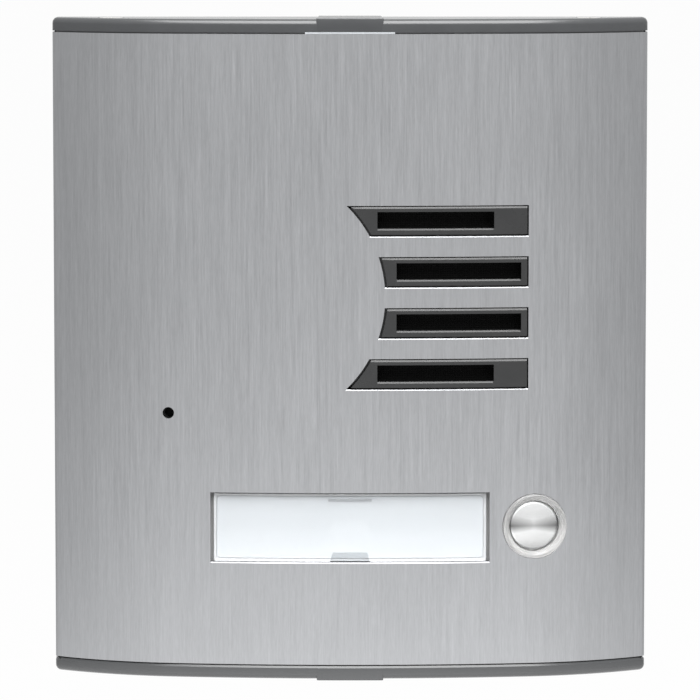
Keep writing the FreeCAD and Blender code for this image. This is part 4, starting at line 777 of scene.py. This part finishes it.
spots = [placed((side * PORT[0], PORT[1], CAP_TOP if facing == "up" else -CAP_TOP), turn, facing)
         for (facing, side), turn in CAP_SCREW_TURNS.items()]
fit(copies(cross_screw("cap_screws", CAP_SCREW_HEAD, 1.25, 12.0), spots), "cap_screws")
spots = [placed((x, COVER_BACK, z), turn, "back") for (x, z), turn in COVER_SCREW_TURNS.items()]
fit(copies(cross_screw("cover_screws", COVER_SCREW_HEAD, 1.5, 21.0), spots), "cover_screws")

# %% [markdown]
# ## The rear cover
#
# Behind the panel a moulded tub closes off the circuit board and drops into the wall box. It starts as a
# block, its corners and back rim are rounded, it is hollowed out, and then it gets its openings: the
# terminal window, two round holes for a screwdriver, and the slot in its foot where the wires
# come in. Four shallow grooves mark the back.

# %% Tub, openings and pillars
COVER = (48.0, 54.0)
COVER_WALL = 1.8
COVER_FRONT = -1.8
TRIMMER_Z = -15.0
GROOVE_DEPTH = 0.5
SCREW_BORE = 1.75


def runs_back(at, way):
    """True for an edge that runs from front to back."""
    return abs(way.y) > 0.9


tub = block("rear_cover", (-COVER[0], COVER_FRONT, -COVER[1]), (COVER[0], COVER_BACK, COVER[1]))
round_edges(tub, 2.6, 6, runs_back)
round_edges(tub, 0.9, 4, lambda at, way: at.y > COVER_BACK - NEAR)
hollow = block("hollow", (-COVER[0] + COVER_WALL, COVER_FRONT - 1, -COVER[1] + COVER_WALL),
               (COVER[0] - COVER_WALL, COVER_BACK - COVER_WALL, COVER[1] - COVER_WALL))
round_edges(hollow, 1.2, 4, runs_back)
window = block("terminal_window", (-14.2, 18, -48.5), (14.2, 30, -35.5))
round_edges(window, 0.8, 4, runs_back)
cut(tub, hollow, window, block("wire_entry", (-13, 10.65, -60), (13, 18.65, -50)))
for x in (-11, 11):
    cut(tub, disc_bar("trimmer_hole", (x, 0, TRIMMER_Z), 3.2, 18, 30, 48))
for x in (-24, -8, 8, 24):
    cut(tub, block("groove", (x - 5, COVER_BACK - GROOVE_DEPTH, 2), (x + 5, 30, 44)))
for x, z in COVER_SCREW_TURNS:
    cut(tub, screw_hole(COVER_SCREW_HEAD, SCREW_BORE, 14.0, placed((x, COVER_BACK, z), 0, "back")))
soften(tub, 0.2, segments=2)
for x, z in COVER_SCREW_TURNS:
    pillar = disc_bar("pillar", (x, 0, z), 3.6, 10.7, COVER_BACK - 1.5, 32)
    join(tub, cut(pillar, disc_bar("bore", (x, 0, z), SCREW_BORE, 9, 26, 32)))
modify(smooth(tub, 30), "WEIGHTED_NORMAL", keep_sharp=True)
fit(tub, "rear_cover")

# %% [markdown]
# ## Small parts on the circuit board
#
# The capacitors are cans with a rolled groove near the foot, a rounded shoulder and a scored vent. The
# terminal screws are slotted. The button's spring is a round wire carried along a helix by the Screw
# modifier.

# %% Capacitors, terminal screws and spring
BOARD_BACK = 10.6
CANS = [(-30, 30, 5, 10.6), (-30, 16, 4, 9.0), (31, -6, 4, 9.0)]
TERMINAL_PITCH = 5.08
TERMINAL_Z = -42.0
SPRING_RADIUS, SPRING_WIRE, SPRING_TURNS, SPRING_STEPS = 3.2, 0.18, 2.0, 60

cans = []
for x, z, radius, height in CANS:
    foot, top = BOARD_BACK, BOARD_BACK + height
    can = lathe("capacitors", (0, foot), (radius - 0.25, foot), (radius, foot + 0.3), (radius, foot + 1.2),
                (radius - 0.35, foot + 1.7), (radius, foot + 2.2),
                *arc((radius - 0.5, top - 0.5), 0.5, 0, 90, 5), (radius - 0.9, top - 0.12),
                (0, top - 0.12), steps=48, closed=False)
    for angle in (20, 110):
        score = block("score", (-radius * 0.62, top - 0.3, -0.12), (radius * 0.62, top + 1, 0.12))
        score.data.transform(turned(angle))
        cut(can, score)
    can.data.transform(moved(x, 0, z))
    cans.append(can)
fit(smooth(join(*cans), 30), "capacitors")

screw = lathe("terminal_screws", (0, -21.4), (1.45, -21.4), (1.7, -21.15), (1.7, -19.8), (1.2, -19.6),
              (1.2, -14.4), (0, -14.4), steps=32, closed=False)
cut(screw, block("slot", (-2, -22, -0.25), (2, -20.6, 0.25)))
spots = [moved((way - 2) * TERMINAL_PITCH, 0, TERMINAL_Z) @ turned(180, "X") @ turned(25 + 40 * way)
         for way in range(5)]
fit(copies(smooth(screw, 30), spots), "terminal_screws")

low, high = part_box("button_spring")
tilt = math.radians(BUTTON_TILT)
inward = Vector((-math.sin(tilt), math.cos(tilt), 0))
along = ((low + high) / 2 / MM - Vector(BUTTON)).dot(inward)
reach = (high.y - low.y) / MM - 2 * (SPRING_RADIUS + SPRING_WIRE) * math.sin(tilt)
coil = line("button_spring", *((x, y, 0) for x, y in arc((SPRING_RADIUS, 0), SPRING_WIRE, 0, 315, 7)))
everything()
bpy.ops.mesh.edge_face_add()
bpy.ops.mesh.delete(type="ONLY_FACE")
close_mesh()
modify(coil, "SCREW", axis="Y", angle=math.tau * SPRING_TURNS, screw_offset=(reach - 2 * SPRING_WIRE) * MM,
       steps=SPRING_STEPS, render_steps=SPRING_STEPS)
open_mesh(coil)
tidy_mesh(outward=False)
bpy.ops.mesh.fill_holes(sides=0)
tidy_mesh()
close_mesh()
coil.data.transform(moved(0, along - reach / 2 + SPRING_WIRE, 0))
fit(smooth(on_button(coil), 60), "button_spring")
spring_seat = Vector(BUTTON) + inward * (along + reach / 2)
tuple(spring_seat * MM)
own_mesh(coil)
print(f"spring: {along:.2f} mm behind the skin, {reach:.2f} mm long")

# %% [markdown]
# ## Finishes
#
# A finish is a small network of nodes. Written as Python expressions it reads like the arithmetic it is:
# `Flow` wraps one socket, and adding or multiplying two of them adds a Math node. Every pattern reads
# Object coordinates, so it stays on the piece when the piece moves.

# %% A socket that does arithmetic
class Flow:
    """One socket of a material's nodes, or its whole tree when it has no socket yet."""

    def __init__(self, tree, socket=None):
        self.tree, self.socket = tree, socket

    def node(self, kind, sockets=None, out=0, **settings):
        """Adds a node with its settings, and gives its sockets their values or links."""
        made = self.tree.nodes.new("ShaderNode" + kind)
        for name, value in settings.items():
            setattr(made, name, value)
        for name, value in (sockets or {}).items():
            if isinstance(value, Flow):
                self.tree.links.new(value.socket, made.inputs[name])
            else:
                made.inputs[name].default_value = value
        return Flow(self.tree, made.outputs[out] if len(made.outputs) else None)

    def math(self, operation, *values, clamp=False):
        """A Math node whose first value is this socket."""
        return self.node("Math", dict(enumerate((self, *values))), operation=operation, use_clamp=clamp)

    def __add__(self, other):
        return self.math("ADD", other)

    def __mul__(self, other):
        return self.math("MULTIPLY", other)

    def __sub__(self, other):
        return self.math("SUBTRACT", other)

    def __rsub__(self, other):
        return self * -1 + other

    __radd__, __rmul__ = __add__, __mul__

    def parts(self, axes="XYZ"):
        """The vector's parts along some axes."""
        return [self.node("SeparateXYZ", {0: self}, out=axis) for axis in axes]

    def mix(self, first, second):
        """A colour between first and second, with this socket as the share of the second."""
        return self.node("Mix", {0: self, 6: first, 7: second}, out=2, data_type="RGBA")


def grey(value, tint=(1.0, 1.0, 1.0)):
    """A colour of one strength, as the sockets want it."""
    return tuple(value * part for part in tint) + (1.0,)


def scaled(colour, by):
    """A darker or lighter colour."""
    return tuple(min(part * by, 1.0) for part in colour[:3]) + (1.0,)


# %% [markdown]
# ## Three kinds of grain
#
# Most surfaces need the same three things: a small change of colour, a slow change of roughness, and
# a fine relief. `noise_at` makes a noise at a size in millimetres, stretched where the real process
# stretched it. `finish` puts the three together around a Principled shader.

# %% Grain and the general finish
def cleared(owner):
    """The tree of a material or a world, without its first nodes."""
    owner.use_nodes = True
    owner.node_tree.nodes.clear()
    return Flow(owner.node_tree)


def new_material(name):
    """A new material, its tree and its Object coordinates."""
    material = bpy.data.materials.new(name)
    flow = cleared(material)
    return material, flow, flow.node("TexCoord", out="Object")


def noise_at(place, size, stretch=(1, 1, 1), detail=3.0, shift=(0, 0, 0)):
    """Noise whose grains are about size millimetres, drawn out along each axis by stretch."""
    scale = tuple(1 / (size * MM * part) for part in stretch)
    place = place.node("Mapping", {"Vector": place, "Scale": scale, "Location": shift})
    return place.node("TexNoise", {"Vector": place, "Scale": 1.0, "Detail": detail, "Roughness": 0.6})


def relief_of(height, depth, strength=1.0):
    """The normal of a relief whose depth is in millimetres."""
    return height.node("Bump", {"Strength": strength, "Distance": depth * MM, "Height": height})


def principled(flow, **sockets):
    """The Principled shader; an underscore in a name stands for a space."""
    return flow.node("BsdfPrincipled", {name.replace("_", " "): value for name, value in sockets.items()})


def shown(shader):
    """Makes a shader the material's surface."""
    shader.node("OutputMaterial", {"Surface": shader})


def inside(place, low, high):
    """One inside a box of the piece, given in millimetres, and nothing outside it."""
    share = 1.0
    for part, least, most in zip(place.parts(), low, high):
        share = part.math("GREATER_THAN", least * MM) * part.math("LESS_THAN", most * MM) * share
    return share


def finish(name, colour, roughness, mottle=0.1, spread=0.12, size=6.0, fine=0.2, relief=0.004,
           stretch=(1, 1, 1), patches=(), **sockets):
    """A material whose colour, roughness and relief all vary a little over the surface. A patch is a
    box of the piece painted another colour, such as painted shade."""
    material, flow, place = new_material(name)
    slow = noise_at(place, size, stretch)
    quick = noise_at(place, fine, stretch, detail=2.0)
    tone = (slow * 0.7 + quick * 0.3).mix(scaled(colour, 1 - mottle), scaled(colour, 1 + mottle))
    for low, high, other in patches:
        tone = inside(place, low, high).mix(tone, other)
    shown(principled(flow, Base_Color=tone, Normal=relief_of(quick, relief),
                     Roughness=(slow - 0.5) * spread + roughness, **sockets))
    return material


worn = set()


def wear(material, *names):
    """Gives a finish to new pieces, or to CAD nodes that keep their own mesh."""
    for name in names:
        piece = pieces.get(name) or frame["nodes"][name]
        piece.data.materials.clear()
        piece.data.materials.append(material)
    worn.update(names)


# %% [markdown]
# ## Giving each piece its finish
#
# A CAD node whose shape is already right keeps its mesh and only gets a material in its slot, so one
# call dresses new pieces and CAD meshes alike. The name tray has boxes painted another colour: its
# finger tab is painted a darker grey, and its two side walls carry painted shade.

# %% Plain finishes
# The finger tab is painted a darker grey than the rest of the tray.
TAB_PATCH = ((-5, -20, -33), (5, -14.2, -30.7), grey(0.4, (0.96, 1.0, 1.06)))
# Painted shade: the tray's side walls beside the lens are painted dark grey, where the window's edge shades
# them.
WALL_SHADE_PATCHES = [((left, -20, -47), (left + 2.45, 0, -28), grey(0.36)) for left in (-31, 28.55)]
wear(finish("moulded_cap", grey(0.055, (0.95, 1.0, 1.06)), 0.24, mottle=0.2, spread=0.08, fine=0.25,
            Specular_IOR_Level=0.9), "top_cap", "bottom_cap")
wear(finish("moulded_grille", grey(0.024, (0.97, 1.0, 1.03)), 0.27, fine=0.12, relief=0.005,
            Specular_IOR_Level=0.7), "grille")
wear(finish("black_moulding", grey(0.018), 0.5, relief=0.02),
     "rear_cover", "chassis", "trimmer_bodies", "link_header")
wear(finish("pale_moulding_painted_shade", grey(0.7, (0.99, 1.0, 1.02)), 0.4, relief=0.006,
            patches=[TAB_PATCH, *WALL_SHADE_PATCHES]), "name_tray")
wear(finish("white_moulding", grey(0.72, (1.0, 0.99, 0.96)), 0.45, relief=0.006),
     "button_housing", "button_plunger", "switch_actuator", "speaker_volume_rotor", "mic_volume_rotor")
wear(finish("card", grey(0.66, (0.92, 0.96, 1.0)), 0.75, mottle=0.02, size=9.0, fine=0.12),
     "name_card", "cap_strip")
wear(finish("rubber", grey(0.02), 0.75, fine=0.3, relief=0.02), "mic_boot", "speaker_gasket")
wear(finish("felt", grey(0.01), 0.95, fine=0.3, relief=0.05), "microphone")
wear(finish("foam", grey(0.03), 0.9, fine=0.35, relief=0.12), "wall_gasket")
wear(finish("zinc_plate", grey(0.62, (0.98, 0.99, 1.0)), 0.34, size=5.0, fine=0.4, relief=0.006,
            Metallic=1.0), "wall_frame", "lock_bracket", "speaker_basket", "speaker_top_plate",
     "speaker_pot", "button_spring", "terminal_clamps")
wear(finish("screw_steel", grey(0.66, (1.0, 0.99, 0.96)), 0.28, size=1.0, Metallic=1.0),
     "cap_screws", "cover_screws", "terminal_screws")
wear(finish("black_oxide", grey(0.09), 0.4, size=1.0, Metallic=0.8), "lock_screw")
wear(finish("ferrite", grey(0.03, (1.0, 0.98, 0.97)), 0.6, size=2.0, fine=0.25, relief=0.02),
     "speaker_magnet")
wear(finish("cone_paper", grey(0.035), 0.85, size=3.0, fine=0.3, relief=0.05),
     "speaker_cone", "speaker_dust_cap")
wear(finish("copper_wire", (0.75, 0.32, 0.12, 1.0), 0.3, fine=0.25, stretch=(1, 0.1, 1), relief=0.02,
            Metallic=1.0), "voice_coil")
wear(finish("brass", (0.72, 0.55, 0.25, 1.0), 0.3, size=1.5, Metallic=1.0), "line_transformer")
wear(finish("terminal_green", (0.03, 0.25, 0.09, 1.0), 0.4, relief=0.006), "terminal_block")
wear(finish("epoxy", grey(0.025), 0.55, size=1.5, fine=0.12, relief=0.01),
     "amplifier_chip", "call_switch", "capacitors")
wear(finish("led_resin", (0.9, 0.85, 0.6, 1.0), 0.25, size=1.0, relief=0.002), "name_lights")
print("plain finishes on", len(worn), "pieces")

# %% [markdown]
# ## Brushed aluminium
#
# The panel is drawn over a wire brush from top to bottom. A scratch is a few hundredths of a millimetre
# wide and runs for a centimetre or more, so the grain is noise stretched forty to sixty times along Z.
# Two widths of scratch change the colour, the roughness and the relief together, as real scratches do.

# %% The panel's finish
def brushed(name, colour, roughness):
    """Metal scratched upright, with two widths of scratch, small nicks and a slow cloud."""
    material, flow, place = new_material(name)
    hair = noise_at(place, 0.18, (1, 1, 60))
    streak = noise_at(place, 0.6, (1, 1, 40), detail=4.0, shift=(3, 0, 1))
    cloud = noise_at(place, 30, (1, 1, 2), detail=2.0)
    nick = noise_at(place, 0.16, (1, 1, 14), detail=2.0, shift=(0, 5, 2))
    shade = hair * 0.3 + nick * 0.3 + streak * 0.25 + cloud * 0.15
    tone = (shade - 0.3).math("DIVIDE", 0.4, clamp=True).mix(scaled(colour, 0.83), scaled(colour, 1.17))
    shown(principled(flow, Base_Color=tone, Metallic=1.0,
                     Normal=relief_of(hair * 0.7 + streak * 0.3, 0.0012, strength=0.5),
                     Roughness=(hair - 0.5) * 0.15 + (streak - 0.5) * 0.08 + roughness))
    return material


wear(brushed("brushed_aluminium", grey(0.42, (0.985, 1.0, 1.03)), 0.38), "front_panel")

# %% [markdown]
# ## Clear plastic, spun metal, cloth and circuit board
#
# The lens lets all the light through and the ring most of it, so their shader is Principled with
# Transmission and the real refractive index. The button's face is spun, with fine rings, and its
# colour carries a painted reflection: painted shade in a band and at its foot. The cloth is two
# crossed waves. The board is green lacquer over tracks.

# %% The special finishes
def clear(name, tint, roughness, ior, share=1.0, patch=None):
    """Clear plastic. Shadow rays pass straight through it, so what lies behind stays lit."""
    material, flow, place = new_material(name)
    haze = noise_at(place, 3.0)
    tone = haze.mix(tint, grey(1.0))
    # A patch tints a box of the piece darker: painted shade.
    if patch:
        low, high, other = patch
        tone = inside(place, low, high).mix(tone, other)
    shader = principled(flow, Base_Color=tone, Transmission_Weight=share, IOR=ior, Specular_IOR_Level=0.3,
                        Roughness=haze * 0.04 + roughness)
    shadow = flow.node("LightPath", out="Is Shadow Ray")
    passed = flow.node("BsdfTransparent", {"Color": grey(1.0)})
    shown(flow.node("MixShader", {0: shadow, 1: shader, 2: passed}))
    return material


def spun(name, colour, roughness, centre, axis_turn, radius):
    """A face turned about an axis along Y through centre, swung about Z. Its colour carries a painted
    reflection: painted shade in a band across the middle, most at each side, and towards the foot."""
    material, flow, place = new_material(name)
    mottle = noise_at(place, 1.2)
    place = flow.node("VectorMath", {0: place, 1: mm(*centre)}, operation="SUBTRACT")
    place = flow.node("VectorRotate", {"Vector": place, "Angle": -math.radians(axis_turn)},
                      rotation_type="Z_AXIS")
    rings = flow.node("TexWave", {"Vector": place, "Scale": 1 / (0.8 * MM), "Distortion": 0.3, "Detail": 3.0},
                      out="Fac", wave_type="RINGS", rings_direction="Y")
    across, up = (part * (1 / (radius * MM)) for part in place.parts("XZ"))
    # Painted reflection: the base colour darkens in a fan across the middle, most at each side, and towards
    # the foot.
    foot = up.math("MULTIPLY", -0.85, clamp=True)
    band = (across.math("ABSOLUTE") * 0.45 - up.math("ABSOLUTE") * 1.9).math("ADD", 0.5, clamp=True)
    tone = (mottle * 0.1 + band.math("MAXIMUM", foot)).mix(colour, grey(0.2))
    shown(principled(flow, Base_Color=tone, Metallic=1.0, Roughness=mottle * 0.08 + roughness,
                     Normal=relief_of(rings * 0.8 + mottle * 0.2, 0.006)))
    return material


def woven(name, colour, pitch):
    """Cloth: two crossed waves, dark where the threads leave a gap."""
    material, flow, place = new_material(name)
    across, up = (flow.node("TexWave", {"Vector": place, "Scale": 0.314 / (pitch * MM)}, out="Fac",
                            bands_direction=way) for way in "XZ")
    thread = across.math("MAXIMUM", up)
    shown(principled(flow, Base_Color=thread.mix(grey(0.001), colour), Roughness=0.9 - thread * 0.1,
                     Normal=relief_of(thread, 0.08), Specular_IOR_Level=0.15))
    return material


def board(name, pitch):
    """A circuit board: tracks along two directions show through green lacquer."""
    material, flow, place = new_material(name)
    bricks = {"Scale": 1 / (pitch * MM), "Mortar Size": 0.09, "Mortar Smooth": 0.3, "Brick Width": 2.7,
              "Row Height": 0.8}
    turned_places = [flow.node("Mapping", {"Vector": place, "Rotation": (math.pi / 2, 0, turn)})
                     for turn in (0, math.pi / 2)]
    along, across = (flow.node("TexBrick", {"Vector": spot, **bricks}, out="Fac") for spot in turned_places)
    copper = along.math("MAXIMUM", across)
    tone = (copper * 0.8 + noise_at(place, 2.0) * 0.2).mix((0.006, 0.07, 0.03, 1.0), (0.02, 0.2, 0.09, 1.0))
    shown(principled(flow, Base_Color=tone, Roughness=0.4 - copper * 0.08, Normal=relief_of(copper, 0.03)))
    return material


NOTCH_TOP = LENS[1] + NOTCH["height"] + 0.05
# Painted shade: the lens is tinted grey in its finger notch.
NOTCH_SHADE_PATCH = ((-4.6, -15.6, -46), (4.6, -15.2, NOTCH_TOP), grey(0.6, (0.94, 0.98, 1.0)))
wear(clear("clear_acrylic_painted_notch_shade", grey(0.995, (0.99, 1.0, 1.0)), 0.01, 1.49, patch=NOTCH_SHADE_PATCH), "name_lens")
wear(clear("clear_ring", grey(1.0), 0.02, 1.5, share=0.7), "button_ring")
wear(spun("spun_chrome_painted_fan", grey(0.98, (0.99, 1.0, 1.0)), 0.2, BUTTON, BUTTON_TILT, DISC_RADIUS), "call_button")
wear(woven("speaker_cloth", grey(0.004), 0.5), "grille_cloth")
wear(board("circuit_board", 2.2), "main_board", "button_board", "light_board")
print("nodes without a finish:", set(frame["nodes"]) - worn or "none")

# %% [markdown]
# ## The floor and the world
#
# The panel hangs above a pale floor under one large soft light. Floor and world look white to the camera
# and through glass. What metal mirrors is chosen apart: a dimmer band at eye level, and a bright patch
# of floor in front. The Light Path node tells which kind of ray is asking.

# %% Floor and world
FLOOR_Z = -120.0
PATCH_Y = -150.0
MIRRORED_LOW, MIRRORED_HIGH = 0.63, 1.6
SKY_LIGHT = 0.3


def sight(flow):
    """What the camera sees, straight or through glass, and what is seen in a mirror, as two shares."""
    camera_ray, glossy, through = (flow.node("LightPath", out=f"Is {kind} Ray")
                                   for kind in ("Camera", "Glossy", "Transmission"))
    return camera_ray.math("MAXIMUM", through), glossy


bpy.ops.mesh.primitive_plane_add(size=12, location=mm(0, 0, FLOOR_Z))
ground = settle(added("studio_floor"))
material, flow, place = new_material("pale_floor")
direct, glossy = sight(flow)
distance = flow.node("VectorMath", {0: place, 1: mm(0, PATCH_Y, FLOOR_Z)}, out="Value", operation="DISTANCE")
mirrored = (distance * -2).math("ADD", 1.0, clamp=True) * MIRRORED_HIGH + MIRRORED_LOW
paper = flow.node("BsdfDiffuse", {"Color": grey(0.8)})
glow = flow.node("Emission", {"Color": direct + (1 - direct) * mirrored, "Strength": 1.0})
shown(flow.node("MixShader", {0: direct.math("MAXIMUM", glossy) * 0.97, 1: paper, 2: glow}))
ground.data.materials.append(material)

world = bpy.data.worlds.new("studio")
bpy.context.scene.world = world
flow = cleared(world)
direct, glossy = sight(flow)
aside, away, height = flow.node("TexCoord", out="Generated").parts()
level = (height.math("ABSOLUTE") * -4).math("ADD", 1.0, clamp=True)
band = away.math("MULTIPLY", -1.0, clamp=True) * level
mirror = 1.15 - band * 0.5 - aside * aside * 0.35 + aside * 0.08
sky = direct + (1 - direct) * (glossy * mirror + (1 - glossy) * SKY_LIGHT)
backdrop = flow.node("Background", {"Color": grey(1.0), "Strength": sky})
flow.node("OutputWorld", {"Surface": backdrop})
print("floor at", FLOOR_Z, "mm; world:", world.name)

# %% [markdown]
# ## The lamp
#
# A lamp's softness comes from its size. This one is a rectangle nearly a metre long above and in front
# of the panel, so that the bow shades gently from side to side.

# %% Lamp
LAMP_AT = mm(40, -430, 700)
LAMP_WIDTH, LAMP_LENGTH = 600, 900
LAMP_WATTS = 9.3
light = bpy.data.lights.new("overhead", "AREA")
light.shape = "RECTANGLE"
light.size, light.size_y = LAMP_WIDTH * MM, LAMP_LENGTH * MM
light.energy = LAMP_WATTS
lamp = bpy.data.objects.new("overhead", light)
lamp.location = LAMP_AT
lamp.rotation_euler = (-LAMP_AT).to_track_quat("-Z", "Y").to_euler()
bpy.context.scene.collection.objects.link(lamp)
print(f"lamp: {LAMP_WATTS} W, {LAMP_AT.length:.2f} m away")

# %% [markdown]
# ## The camera
#
# A long lens from a little over a metre keeps the sides of the panel nearly parallel. The camera
# stands a little high and looks slightly down.

# %% Camera
CAMERA_AT = mm(0, -1100, 110)
CAMERA_TILT = 5.778
CAMERA_LENS = 268.25
camera = bpy.data.objects.new("camera", bpy.data.cameras.new("camera"))
camera.data.lens = CAMERA_LENS
camera.data.clip_start = 0.05
camera.location = CAMERA_AT
camera.rotation_euler = (math.radians(90 - CAMERA_TILT), 0, 0)
bpy.context.scene.collection.objects.link(camera)
bpy.context.scene.camera = camera
bpy.context.scene.view_settings.view_transform = "Standard"
print(f"camera: {CAMERA_LENS} mm lens, {CAMERA_AT.length:.2f} m away")
